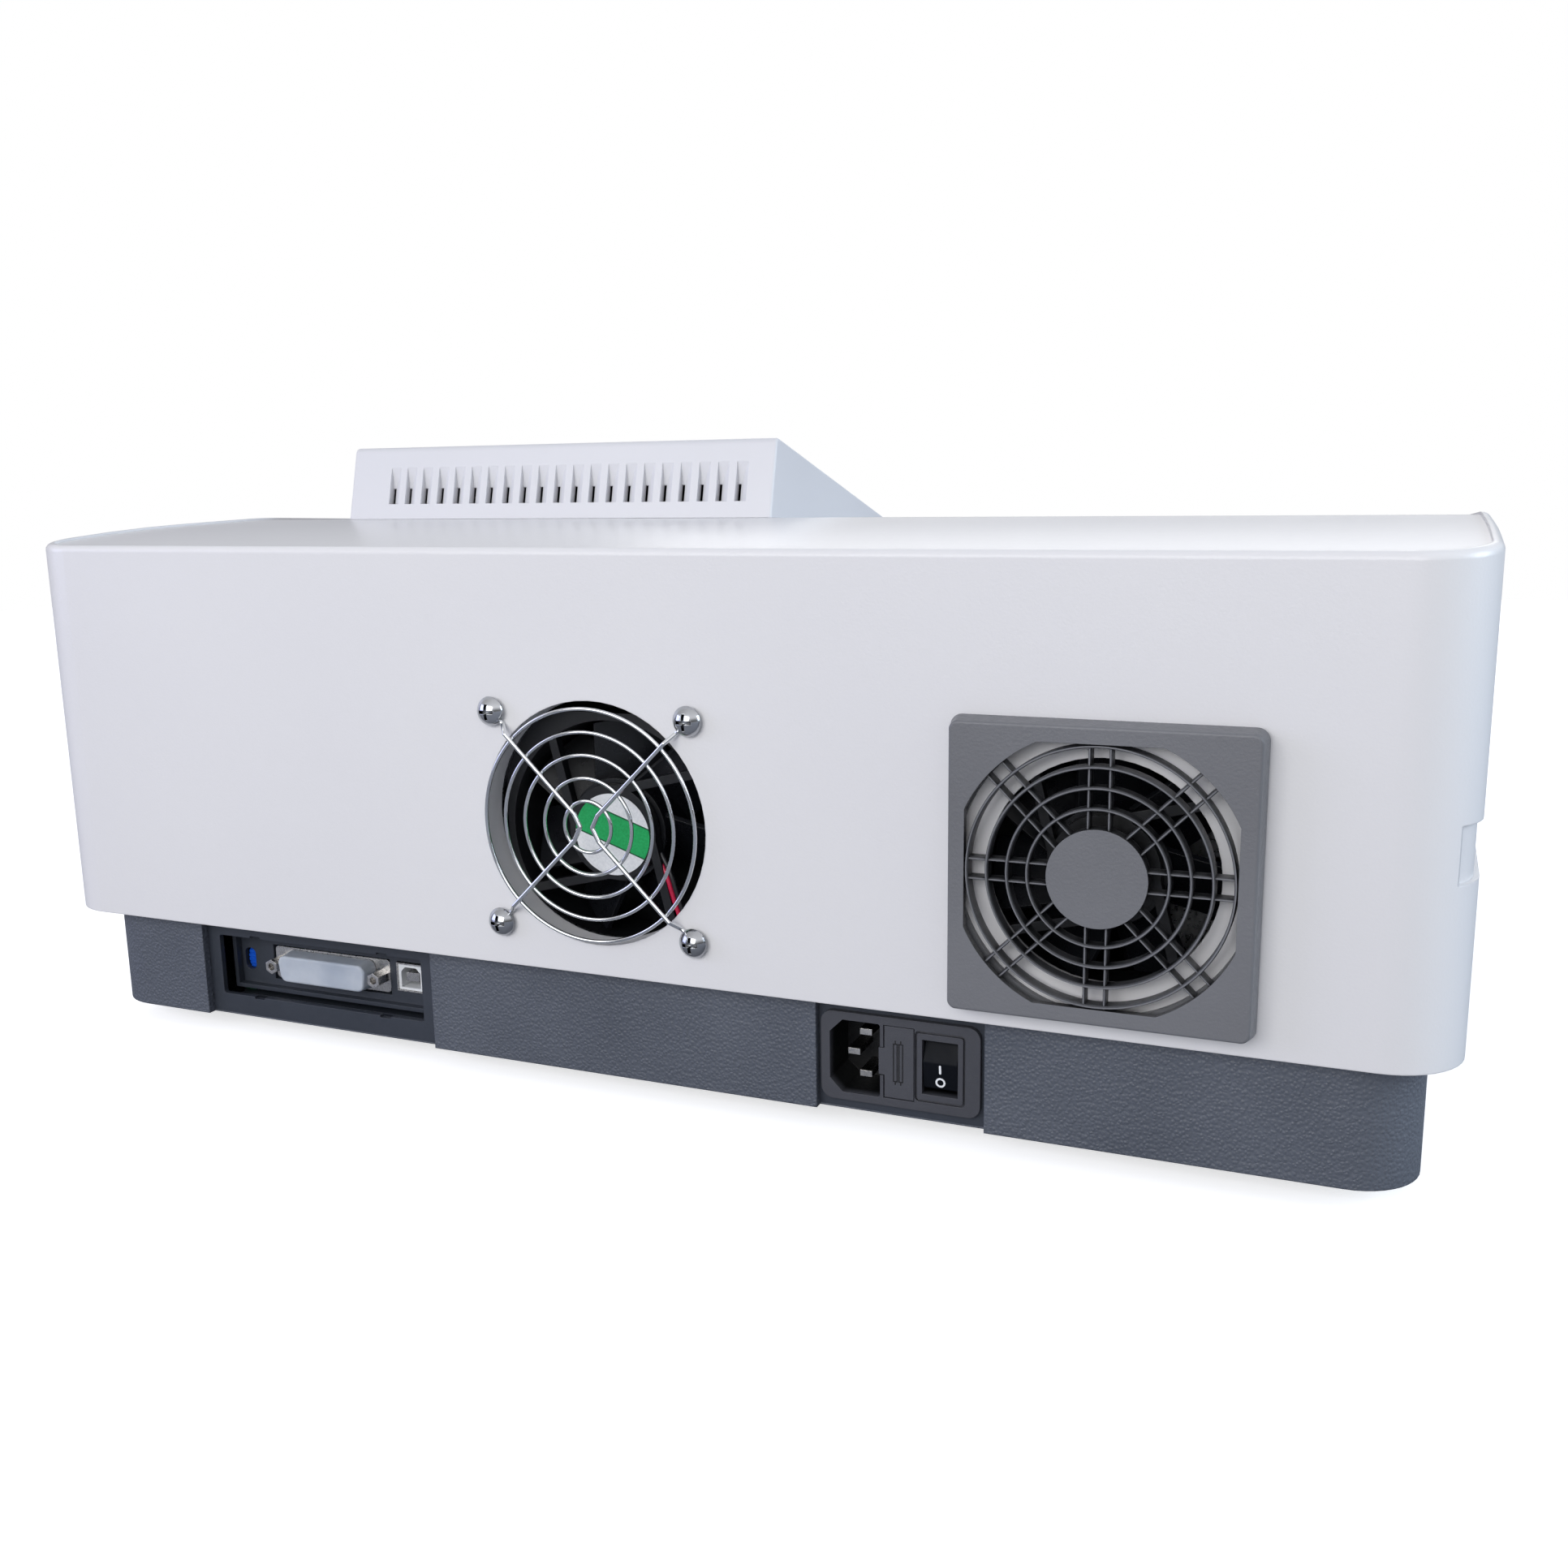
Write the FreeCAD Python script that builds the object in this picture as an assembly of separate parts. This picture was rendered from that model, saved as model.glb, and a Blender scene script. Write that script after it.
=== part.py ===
import FreeCAD, Part
import math
import os

# Double beam spectrophotometer, front towards -Y, rear panel towards +Y, standing on four feet.
# All sizes are millimetres. The origin is on the bench, under the middle of the bounding box.

V = FreeCAD.Vector

# Case
WIDTH = 502.0
COVER_DEPTH = 392.0
CORNER_R = 22.0
COVER_WALL = 3.2
FOOT_HEIGHT = 8.0
BASE_HEIGHT = 38.4
REAR_HEIGHT = 139.3
SHOULDER_SETBACK = 50.0
SHOULDER_RISE = 4.6
RIDGE_RISE = 6.4
RIDGE_SETBACK = 128.0
BROW_INSET = 138.0
BROW_DROP = 4.6
FRONT_TOP_INSET = 16.0
FRONT_TOP_DROP = 40.0
NOSE_DROP = 74.0
RIM_WIDTH = 3.0
RIM_STEP = 0.9
EDGE_R = 2.4
FRONT_TRIM = 0.05
FIT_GAP = 0.3

# Base tray
BASE_SIDE_INSET = 9.0
BASE_FAR_INSET = 12.6
BASE_REAR_INSET = 7.5
BASE_FRONT_INSET = 12.0
TRAY_WALL = 3.0
TRAY_FLOOR = 3.0
TRAY_LIP = 6.0
FLANGE_THICKNESS = 3.0
SEAT_REACH = 3.0
NICHE_DEPTH = 3.0
FOOT_R = 11.0
FOOT_INSET = 42.0
FLOOR_SLOT_COUNT = 9
FLOOR_SLOT_PITCH = 9.0
FLOOR_SLOT_WIDTH = 4.0
FLOOR_SLOT_LENGTH = 60.0

# Rear panel, power inlet and ports
PANEL_THICKNESS = 2.0
PORT_NICHE_X = 135.4
PORT_NICHE_WIDTH = 103.8
POWER_NICHE_X = -90.7
POWER_NICHE_WIDTH = 55.0
INLET_X = -90.6
PORT_WINDOW_WIDTH = 92.0
PORT_WINDOW_HEIGHT = 23.2
PORT_WINDOW_RISE = 19.6
PORT_WINDOW_SHIFT = 0.4
WINDOW_NOTCH_SPREAD = 58.0
WINDOW_NOTCH_WIDTH = 4.8
WINDOW_NOTCH_DEPTH = 0.8
INLET_WIDTH = 52.2
INLET_HEIGHT = 29.4
INLET_RISE = 18.4
INLET_BEZEL = 2.0
INLET_BODY_DEPTH = 27.0
SOCKET_WIDTH = 16.8
SOCKET_HEIGHT = 24.2
SOCKET_DEPTH = 17.0
SOCKET_CHAMFER = 4.3
SOCKET_OFFSET = 14.7
PIN_PITCH = 14.0
PIN_OFFSET = 4.0
PIN_WIDTH = 4.0
PIN_THICKNESS = 2.0
PIN_LENGTH = 12.0
DRAWER_WIDTH = 9.6
DRAWER_HEIGHT = 23.6
DRAWER_OFFSET = 0.1
DRAWER_DEPTH = 22.0
DRAWER_TAB_WIDTH = 1.9
DRAWER_TAB_HEIGHT = 8.8
FUSE_R = 2.5
FUSE_LENGTH = 20.0
SWITCH_WIDTH = 16.2
SWITCH_HEIGHT = 23.2
SWITCH_GROOVE = 0.7
SWITCH_GROOVE_DEPTH = 1.0
SWITCH_OFFSET = -13.25
ROCKER_WIDTH = 11.0
ROCKER_HEIGHT = 15.6
ROCKER_PIVOT_DEPTH = 5.5
ROCKER_GAP = 0.25
ROCKER_TILT = 8.0
ROCKER_BEVEL = 16.0
ROCKER_RIDGE = 0.1
ROCKER_RIDGE_RISE = 1.0
ROCKER_DEPTH = 12.0

# Port bracket and its connectors
BRACKET_SETBACK = 11.5
BRACKET_THICKNESS = 2.0
BRACKET_WIDTH = 98.8
BRACKET_X = 132.4
BRACKET_LOW = 10.9
BRACKET_HIGH = 15.0
BRACKET_RIM = 3.0
BRACKET_RIM_WIDTH = 1.6
BRACKET_SHELF = 13.5
BRACKET_LEG = 8.0
PORT_FLANGE_WIDTH = 53.0
PORT_FLANGE_HEIGHT = 12.5
PORT_FLANGE_GAP = 0.6
PORT_SINK = 1.4
PORT_X = 137.8
PORT_RISE = 19.4
SHELL_WIDTH = 38.4
SHELL_HEIGHT = 8.0
SHELL_DEPTH = 6.0
SHELL_CORNER_R = 1.2
SHELL_LEAN = 1.4
JACKSCREW_PITCH = 47.04
JACKSCREW_SIZE = 5.0
JACKSCREW_LENGTH = 6.5
CAP_GROW = 1.5
CAP_CLEARANCE = 0.3
CAP_DRAFT = 0.5
CAP_WALL = 1.2
CAP_CORNER_R = 3.0
CAP_EDGE_R = 0.8
USB_X = 101.2
USB_WIDTH = 12.0
USB_HEIGHT = 10.8
USB_WALL = 0.5
WHEEL_X = 176.3
WHEEL_RISE = 19.4
WHEEL_R = 8.0
WHEEL_THICKNESS = 3.6
WHEEL_SINK = 1.1
WHEEL_NOTCHES = 30
WHEEL_NOTCH_R = 0.35
WHEEL_SHAFT_R = 1.5
WHEEL_SLOT_WIDTH = 5.0
WHEEL_SLOT_HEIGHT = 8.6
BOARD_THICKNESS = 1.6

# Cooling fans and their guards
FAN_SIZE = 80.0
FAN_DEPTH = 25.0
FAN_BORE_R = 37.5
FAN_HOLE_PITCH = 71.5
FAN_HOLE_R = 2.15
FAN_HUB_R = 16.0
ROTOR_HUB_R = 17.5
BLADE_TIP_GAP = 1.2
BLADE_COUNT = 7
BLADE_CHORD = 24.0
BLADE_THICKNESS = 1.6
BLADE_PITCH = 38.0
FAN_AXLE_R = 1.5
FAN_RISE = 89.2
CENTRE_FAN_X = 10.7
CENTRE_FAN_DROP = 5.0
CENTRE_FAN_SHIFT = 1.0
BRACKET_PLATE = 1.5
BOSS_R = 4.5
FAN_PLATE = 3.5
CENTRE_HOLE_R = 40.5
COLLAR_DEPTH = 9.5
COLLAR_WALL = 2.5
SIDE_FAN_X = -153.5
SIDE_FAN_DROP = 1.5
SIDE_HOLE_R = 33.0
WIRE_R = 0.75
RING_WIRE_R = 0.62
WIRE_BITE = 0.3
WIRE_LIFT = 0.05
GUARD_RINGS = 5
GUARD_RING_R = 8.5
GUARD_RING_STEP = 7.45
GUARD_STANDOFF = 3.0
GUARD_EYE_R = 3.2
GUARD_BEND = 6.9
GUARD_LANDING = 4.1
APEX_REACH = 2.2
SCREW_HEAD_R = 4.9
SCREW_HEAD_HEIGHT = 3.2
SCREW_SHANK_R = 1.9
SCREW_CROSS = 5.2
SCREW_CROSS_WIDTH = 1.1
SCREW_CROSS_FLOOR = 1.5
GRILLE_SIZE = 85.4
GRILLE_DRAFT = 1.2
GRILLE_WALL = 1.8
GRILLE_PROUD = 8.0
GRILLE_OPENING = 76.0
GRILLE_OPENING_R = 41.8
GRILLE_HUB_R = 14.2
GRILLE_RING_R = 19.8
GRILLE_RING_STEP = 5.87
GRILLE_RINGS = 4
GRILLE_RIB = 0.95
GRILLE_RIB_DEPTH = 5.0
GRILLE_RIB_TOP = 0.4
GRILLE_RIB_BEVEL = 0.7
GRILLE_RING_DROP = 0.2
GRILLE_SPOKE_DROP = 0.9
GRILLE_FACE = 2.6
GRILLE_SPOKE_GAP = 5.8
GRILLE_SPOKES = 8
RETAINER_THICKNESS = 2.0

# Display hood
HOOD_X = 102.0
HOOD_WIDTH = 200.4
HOOD_SETBACK = 130.0
HOOD_HEIGHT = 30.8
HOOD_LEAN = 8.0
HOOD_OVERHANG = 12.0
HOOD_NOSE = 4.0
HOOD_WALL = 2.6
HOOD_EDGE_R = 1.2
HOOD_NOSE_DEPTH = 12.0
SLOT_COUNT = 21
SLOT_PITCH = 8.2
SLOT_WIDTH = 4.9
SLOT_SLIT = 1.3
SLOT_HEIGHT = 15.8
SLOT_RISE = 6.6
SLOT_RAMP = 8.5
SLOT_X = 97.4
LCD_WIDTH = 154.0
SCREEN_EDGE = 22.2
LCD_THICKNESS = 5.0
BEZEL_MARGIN = 10.0
BEZEL_THICKNESS = 2.0

# Keypad
KEYPAD_WIDTH = 188.0
KEYPAD_LENGTH = 98.0
KEYPAD_THICKNESS = 1.2
KEYPAD_SINK = 0.8
KEY_ROWS = 4
KEY_COLUMNS = 7
KEY_WIDTH = 18.0
KEY_LENGTH = 14.0
KEY_HEIGHT = 0.9
KEY_PITCH_X = 25.0
KEY_PITCH_Y = 21.5

# Sample lid and its hinge
LID_X = -120.0
LID_WIDTH = 196.0
LID_WALL = 3.0
LID_GAP = 0.8
LID_SKIRT = 8.0
HINGE_SETBACK = 161.0
HINGE_DEPTH = 3.2
HINGE_R = 3.0
HINGE_PIN_R = 1.5
HINGE_RUNNING = 0.06
HINGE_KNUCKLE = 26.0
HINGE_SPREAD = 62.0

# Side hand grips
GRIP_HEIGHT = 16.2
GRIP_RISE = 98.3
GRIP_DEPTH = 1.5
GRIP_LENGTH = 150.0
GRIP_START = 7.5

# Optical bench
BENCH_LEFT = -232.0
BENCH_RIGHT = 62.0
BENCH_FRONT_MARGIN = 8.0
BENCH_REAR_MARGIN = 1.0
BENCH_THICKNESS = 9.0
MOUNT_HEIGHT = 10.0
MOUNT_R = 8.0

# Sample chamber
CHAMBER_WIDTH = 164.0
CHAMBER_INSET = 36.0
CHAMBER_HINGE_GAP = 45.0
CHAMBER_HEIGHT = 109.2
CHAMBER_WALL = 2.5
CHAMBER_FLANGE = 6.0
SEAL_THICKNESS = 2.0
SEAL_WIDTH = 5.0
BEAM_HEIGHT = 58.0
BEAM_SPACING = 62.0
WINDOW_R = 9.0
CELL_WELL = 12.8
CELL_HEIGHT = 42.0
CELL_BLOCK = 24.0
CELL_BASE = 6.0
CELL_SLOT_WIDTH = 6.0
DETECTOR_DEPTH = 22.0
SPLITTER_LEFT = -36.0
SPLITTER_RIGHT = 44.0
SPLITTER_MARGIN = 30.0
SPLITTER_GAP = 6.0
EXIT_X = 4.0
MIRROR_BOX_WALL = 3.0

# Monochromator
MONO_LEFT = -122.0
MONO_RIGHT = 52.0
MONO_SETBACK = 56.0
MONO_LENGTH = 128.0
MONO_HEIGHT = 78.0
MONO_WALL = 5.0
MONO_LID = 4.0
GRATING_X = -84.0
GRATING_OFFSET = 74.0
GRATING_ANGLE = -90.0
GRATING_SIZE = 32.0
GRATING_THICKNESS = 6.0
TURRET_R = 18.0
TURRET_SHAFT_R = 4.0
DRIVE_HEIGHT = 18.0
MOTOR_SIZE = 28.0
MOTOR_LENGTH = 26.0
MOTOR_SHAFT_R = 2.5
MOTOR_SHAFT = 4.0
COUPLING_R = 6.5
COUPLING_LENGTH = 12.0

# Light source and filter wheel
LAMP_LEFT = -230.0
LAMP_RIGHT = -166.0
LAMP_SETBACK = 43.0
LAMP_LENGTH = 109.0
SOURCE_OFFSET = 41.0
LAMP_HEIGHT = 104.0
LAMP_WALL = 2.0
LAMP_REACH = 34.0
LAMP_BASE_R = 17.0
LAMP_GLASS_R = 14.0
LAMP_GLASS_HEIGHT = 48.0
BULB_R = 5.5
BULB_HEIGHT = 24.0
SOURCE_MIRROR_SIZE = 26.0
SOURCE_MIRROR_THICKNESS = 3.0
FILTER_WHEEL_R = 30.0
FILTER_CIRCLE_R = 21.0
FILTER_R = 6.5
FILTER_COUNT = 6
FILTER_WHEEL_THICKNESS = 4.0
FILTER_X = -152.0

# Electronics
MAIN_BOARD_WIDTH = 150.0
MAIN_BOARD_LENGTH = 200.0
SUPPLY_WIDTH = 98.0
SUPPLY_LENGTH = 60.0
SUPPLY_HEIGHT = 38.0
SUPPLY_X = 90.0
SUPPLY_SETBACK = 106.0
MAIN_BOARD_X = 76.0
MAIN_BOARD_INSET = 20.0
POST_R = 3.0
POST_HEIGHT = 8.0

# Places worked out from the sizes above
HALF_WIDTH = WIDTH / 2
REAR_Y = (COVER_DEPTH - GRILLE_PROUD) / 2
FRONT_Y = REAR_Y - COVER_DEPTH
BASE_Z = FOOT_HEIGHT
COVER_Z = BASE_Z + BASE_HEIGHT
REAR_TOP_Z = COVER_Z + REAR_HEIGHT
SHOULDER_Y = REAR_Y - SHOULDER_SETBACK
SHOULDER_Z = REAR_TOP_Z + SHOULDER_RISE
RIDGE_Y = REAR_Y - RIDGE_SETBACK
RIDGE_Z = REAR_TOP_Z + RIDGE_RISE
BROW_Y = FRONT_Y + BROW_INSET
BROW_Z = RIDGE_Z - BROW_DROP
FRONT_TOP_Y = FRONT_Y + FRONT_TOP_INSET
FRONT_TOP_Z = RIDGE_Z - FRONT_TOP_DROP
NOSE_Z = RIDGE_Z - NOSE_DROP
TRAY_REAR_Y = REAR_Y - BASE_REAR_INSET
TRAY_FRONT_Y = FRONT_Y + BASE_FRONT_INSET
TRAY_LEFT = -HALF_WIDTH + BASE_SIDE_INSET
TRAY_RIGHT = HALF_WIDTH - BASE_FAR_INSET
FLOOR_Z = BASE_Z + TRAY_FLOOR
PANEL_REAR_Y = TRAY_REAR_Y - NICHE_DEPTH
PANEL_INNER_Y = PANEL_REAR_Y - PANEL_THICKNESS
FAN_Z = BASE_Z + FAN_RISE
SIDE_FAN_Z = FAN_Z - SIDE_FAN_DROP
LID_LEFT = LID_X - LID_WIDTH / 2
LID_RIGHT = LID_X + LID_WIDTH / 2
HINGE_Y = REAR_Y - HINGE_SETBACK
BENCH_Z = FLOOR_Z + MOUNT_HEIGHT
BENCH_TOP = BENCH_Z + BENCH_THICKNESS
CHAMBER_FRONT = FRONT_Y + CHAMBER_INSET
CHAMBER_REAR = HINGE_Y - CHAMBER_HINGE_GAP
CHAMBER_LEFT = LID_X - CHAMBER_WIDTH / 2
CHAMBER_RIGHT = LID_X + CHAMBER_WIDTH / 2
CHAMBER_TOP = BENCH_TOP + CHAMBER_HEIGHT
BEAM_Z = BENCH_TOP + BEAM_HEIGHT
BEAM_Y = (CHAMBER_FRONT + CHAMBER_REAR) / 2
MONO_TOP = BENCH_TOP + MONO_HEIGHT
MONO_REAR = REAR_Y - MONO_SETBACK
MONO_FRONT = MONO_REAR - MONO_LENGTH
GRATING_Y = MONO_REAR - GRATING_OFFSET
SOURCE_Y = MONO_REAR - SOURCE_OFFSET
LAMP_REAR = REAR_Y - LAMP_SETBACK
LAMP_FRONT = LAMP_REAR - LAMP_LENGTH
BENCH_FRONT = CHAMBER_FRONT - BENCH_FRONT_MARGIN
BENCH_REAR = LAMP_REAR + BENCH_REAR_MARGIN
MAIN_BOARD_Y = FRONT_Y + MAIN_BOARD_INSET
SUPPLY_Y = REAR_Y - SUPPLY_SETBACK
DRIVE_Z = MONO_TOP + MONO_LID + DRIVE_HEIGHT
INLET_Y = PANEL_REAR_Y + INLET_BEZEL
INLET_Z = BASE_Z + INLET_RISE
BRACKET_Y = PANEL_REAR_Y - BRACKET_SETBACK + PANEL_THICKNESS
GRILLE_Y = REAR_Y + RETAINER_THICKNESS
GUARD_FRONT_Y = REAR_Y + GUARD_STANDOFF + RING_WIRE_R + WIRE_R - WIRE_BITE
SPOKE_Y = REAR_Y + WIRE_R + WIRE_LIFT
GUARD_BENDS = ((GUARD_EYE_R * 0.66, SPOKE_Y), (GUARD_LANDING, SPOKE_Y), (GUARD_BEND, GUARD_FRONT_Y))
COLLAR_Y = REAR_Y - COLLAR_DEPTH
PORT_Z = BASE_Z + PORT_RISE
USB_Z = BASE_Z + 20.4
WHEEL_Z = BASE_Z + WHEEL_RISE
WINDOW_Z = BASE_Z + PORT_WINDOW_RISE
PANEL_TOP_Z = COVER_Z + 4
BEAM_YS = (BEAM_Y + BEAM_SPACING / 2, BEAM_Y - BEAM_SPACING / 2)
SPLITTER_FRONT = BEAM_YS[1] - SPLITTER_MARGIN
SPLITTER_REAR = MONO_FRONT - SPLITTER_GAP
FIELD_FRONT_Y = FRONT_TOP_Y + 6
HOOD_REAR_Y = REAR_Y - HOOD_SETBACK
LID_FRONT_Z = NOSE_Z + 6
DECK_Z = CHAMBER_TOP + 2.8
STEP_Y = CHAMBER_FRONT - 14.5
WELL_WALL = 2.5
SEAT_Z = COVER_Z + TRAY_LIP
TRAY_CORNER_R = 20.0
GRIP_Z = BASE_Z + GRIP_RISE


def box(x0, x1, y0, y1, z0, z1):
    return Part.makeBox(x1 - x0, y1 - y0, z1 - z0, V(x0, y0, z0))


def rod(x, y, z, axis, radius, length):
    return Part.makeCylinder(radius, length, V(x, y, z), V(*axis))


def fuse(shapes):
    whole = shapes[0].multiFuse(shapes[1:]) if len(shapes) > 1 else shapes[0]
    return whole.removeSplitter()


def cut(shape, tools):
    return shape.cut(Part.makeCompound(tools)) if tools else shape


def corner_arc(before, corner, after, radius):
    """Start, middle and end of the arc of a radius that rounds a corner."""
    a = (before - corner).normalize()
    b = (after - corner).normalize()
    half = a.getAngle(b) / 2
    reach = radius / math.tan(half)
    middle = (a + b).normalize()
    centre = corner + middle * (radius / math.sin(half))
    return corner + a * reach, centre - middle * radius, corner + b * reach


def outline(points, place):
    """Closed wire through (u, v, corner radius) points. place turns (u, v) into a vector."""
    corners = [place(p[0], p[1]) for p in points]
    radii = [p[2] if len(p) > 2 else 0 for p in points]
    runs = []
    for i, corner in enumerate(corners):
        if radii[i] > 0:
            runs.append(corner_arc(corners[i - 1], corner, corners[(i + 1) % len(corners)], radii[i]))
        else:
            runs.append((corner, None, corner))
    edges = []
    for i, run in enumerate(runs):
        if run[1] is not None:
            edges.append(Part.Arc(*run).toShape())
        following = runs[(i + 1) % len(runs)]
        if (following[0] - run[2]).Length > 1e-6:
            edges.append(Part.LineSegment(run[2], following[0]).toShape())
    return Part.Wire(edges)


def prism(points, axis, low, high):
    """Solid of an outline drawn across an axis: (y, z) across x, (x, z) across y, (x, y) across z."""
    places = {
        "x": (lambda u, v: V(low, u, v), V(high - low, 0, 0)),
        "y": (lambda u, v: V(u, low, v), V(0, high - low, 0)),
        "z": (lambda u, v: V(u, v, low), V(0, 0, high - low)),
    }
    place, way = places[axis]
    return Part.Face(outline(points, place)).extrude(way)


def rounded(u0, u1, v0, v1, radius):
    """Points of a rectangle with rounded corners."""
    return [(u0, v0, radius), (u1, v0, radius), (u1, v1, radius), (u0, v1, radius)]


def save(name, shapes):
    """Writes the solids of a node to its file."""
    shapes = shapes if isinstance(shapes, list) else [shapes]
    solids = [s for shape in shapes for s in shape.Solids]
    whole = solids[0] if len(solids) == 1 else Part.makeCompound(solids)
    whole.exportStep("parts/" + name + ".step")
    wrong = [s for s in solids if not s.isValid() or s.Volume <= 0]
    print(name, len(solids), "solids", round(sum(s.Volume for s in solids) / 1000, 2), "cm3",
        "BAD" if wrong else "")


def top_height(y):
    """Height of the case's top surface over a depth position, on its straight runs."""
    runs = [
        (REAR_Y, REAR_TOP_Z), (SHOULDER_Y, SHOULDER_Z), (RIDGE_Y, RIDGE_Z), (BROW_Y, BROW_Z),
        (FRONT_TOP_Y, FRONT_TOP_Z)]
    for (y0, z0), (y1, z1) in zip(runs, runs[1:]):
        if y1 <= y <= y0:
            return z0 + (z1 - z0) * (y0 - y) / (y0 - y1)
    return FRONT_TOP_Z


HINGE_Z = top_height(HINGE_Y) - RIM_STEP - HINGE_DEPTH
HOOD_FOOT_Z = top_height(HOOD_REAR_Y) - RIM_STEP
HOOD_NOSE_Y = BROW_Y - HOOD_OVERHANG
HOOD_NOSE_Z = top_height(HOOD_NOSE_Y) - RIM_STEP + HOOD_NOSE
HOOD_CROWN_Y = HOOD_REAR_Y - HOOD_LEAN
HOOD_CROWN_Z = HOOD_FOOT_Z + HOOD_HEIGHT
LCD_HEIGHT = math.hypot(HOOD_CROWN_Y - HOOD_NOSE_Y, HOOD_CROWN_Z - HOOD_NOSE_Z) - 2 * SCREEN_EDGE


def case_profile(inset, bottom, drop):
    """Side outline of the case, moved in from its walls by inset and down from its top by drop.

    Its front wall stands FRONT_TRIM behind the plan's, so that it crosses the plan's corner arcs.
    """
    slope = SHOULDER_RISE / SHOULDER_SETBACK
    front = FRONT_Y + inset + FRONT_TRIM
    return [
        (REAR_Y - inset, bottom),
        (REAR_Y - inset, REAR_TOP_Z + slope * inset - drop),
        (SHOULDER_Y, SHOULDER_Z - drop, 900),
        (RIDGE_Y, RIDGE_Z - drop, 300),
        (BROW_Y, BROW_Z - drop, 120),
        (FRONT_TOP_Y + inset * 0.5, FRONT_TOP_Z - drop, 14 - drop),
        (front, NOSE_Z - drop * 0.3, 60),
        (front, bottom),
    ]


def case_plan(inset, low, high):
    """Upright prism of the case's plan, moved in from its walls by inset."""
    side = HALF_WIDTH - inset
    return prism(rounded(-side, side, FRONT_Y + inset, REAR_Y - inset, CORNER_R - inset), "z", low, high)


def case_body(inset, bottom, drop):
    reach = HALF_WIDTH + 1
    return prism(case_profile(inset, bottom, drop), "x", -reach,
        reach).common(case_plan(inset, bottom, RIDGE_Z + 1))


def top_edges(body):
    """Edges where the top surface meets the upright walls."""
    found = []
    for edge in body.Edges:
        sides = body.ancestorsOfType(edge, Part.Face)
        tilts = sorted(abs(f.normalAt(*middle_of(f)).z) for f in sides)
        if len(tilts) == 2 and tilts[0] < 0.01 and tilts[1] > 0.2 and edge.CenterOfMass.z > COVER_Z + 40:
            found.append(edge)
    return found


def middle_of(face):
    u0, u1, v0, v1 = face.ParameterRange
    return (u0 + u1) / 2, (v0 + v1) / 2


def case_envelope():
    """Outer shape of the closed case: rounded top edges and a top field sunk inside a narrow rim."""
    body = case_body(0, COVER_Z, 0)
    body = body.makeFillet(EDGE_R, top_edges(body))
    field = prism(case_profile(0, RIDGE_Z + 40, RIM_STEP)[1:-1] + [(FRONT_Y, RIDGE_Z + 40),
        (REAR_Y, RIDGE_Z + 40)], "x", -HALF_WIDTH, HALF_WIDTH)
    return body, field


def turned(shape, x, y, z, axis, degrees):
    """Turns a shape made at the origin about an axis through the origin, then moves it into place."""
    placed = shape.copy()
    placed.rotate(V(0, 0, 0), V(*axis), degrees)
    placed.translate(V(x, y, z))
    return placed


def ring(x, y, z, axis, outer, inner, length):
    return rod(x, y, z, axis, outer, length).cut(rod(x, y, z, axis, inner, length))


def wire(points, radius):
    """Round wire through points, with balls at its bends."""
    parts = []
    for start, end in zip(points, points[1:]):
        way = end - start
        parts.append(Part.makeCylinder(radius, way.Length, start, way))
        parts.append(Part.makeSphere(radius, end))
    return parts[:-1]


def square(x, z, pitch):
    """Four places at the corners of a square across the rear wall."""
    half = pitch / 2
    return [(x - half, z + half), (x + half, z + half), (x - half, z - half), (x + half, z - half)]


def frame_ring(x0, x1, y0, y1, width, low, high):
    """Upright rectangular ring whose walls stand outside the given opening."""
    outer = box(x0 - width, x1 + width, y0 - width, y1 + width, low, high)
    return outer.cut(box(x0, x1, y0, y1, low, high))


def lid_region(gap):
    """Space of the sample lid, widened by a gap on its free sides."""
    rear = HINGE_Y - LID_GAP * 5 if gap == 0 else HINGE_Y + LID_GAP * 5
    return box(LID_LEFT - gap, LID_RIGHT + gap, FRONT_Y - 1, rear, LID_FRONT_Z - gap, RIDGE_Z + 40)


def lid_well(grow):
    """Sunk space in the cover that takes the lid, with a step down at the front."""
    gap = LID_GAP + grow
    points = [
        (HINGE_Y + LID_GAP * 5 + grow, DECK_Z - grow), (HINGE_Y + LID_GAP * 5 + grow, RIDGE_Z + 40),
        (FRONT_Y - 2, RIDGE_Z + 40), (FRONT_Y - 2, LID_FRONT_Z - gap), (STEP_Y + grow, LID_FRONT_Z - gap),
        (STEP_Y + grow, DECK_Z - grow),
    ]
    return prism(points, "x", LID_LEFT - gap, LID_RIGHT + gap)


def cover_skin(envelope):
    """Walls of the cover: the lid well, the seat on the tray and the hollow inside."""
    hollow = case_body(COVER_WALL, COVER_Z - 1, COVER_WALL + RIM_STEP).cut(lid_well(WELL_WALL))
    skin = envelope.cut(hollow).cut(lid_well(0))
    seat = case_plan(COVER_WALL / 2, COVER_Z, SEAT_Z + FLANGE_THICKNESS)
    seat = seat.cut(tray_plan(-FIT_GAP, COVER_Z, SEAT_Z))
    seat = seat.cut(tray_plan(SEAT_REACH, SEAT_Z, SEAT_Z + FLANGE_THICKNESS))
    return skin.fuse(seat)


def tray_plan(inset, low, high):
    points = rounded(
        TRAY_LEFT + inset, TRAY_RIGHT - inset, TRAY_FRONT_Y + inset, TRAY_REAR_Y - inset, TRAY_CORNER_R - inset)
    return prism(points, "z", low, high)


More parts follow.
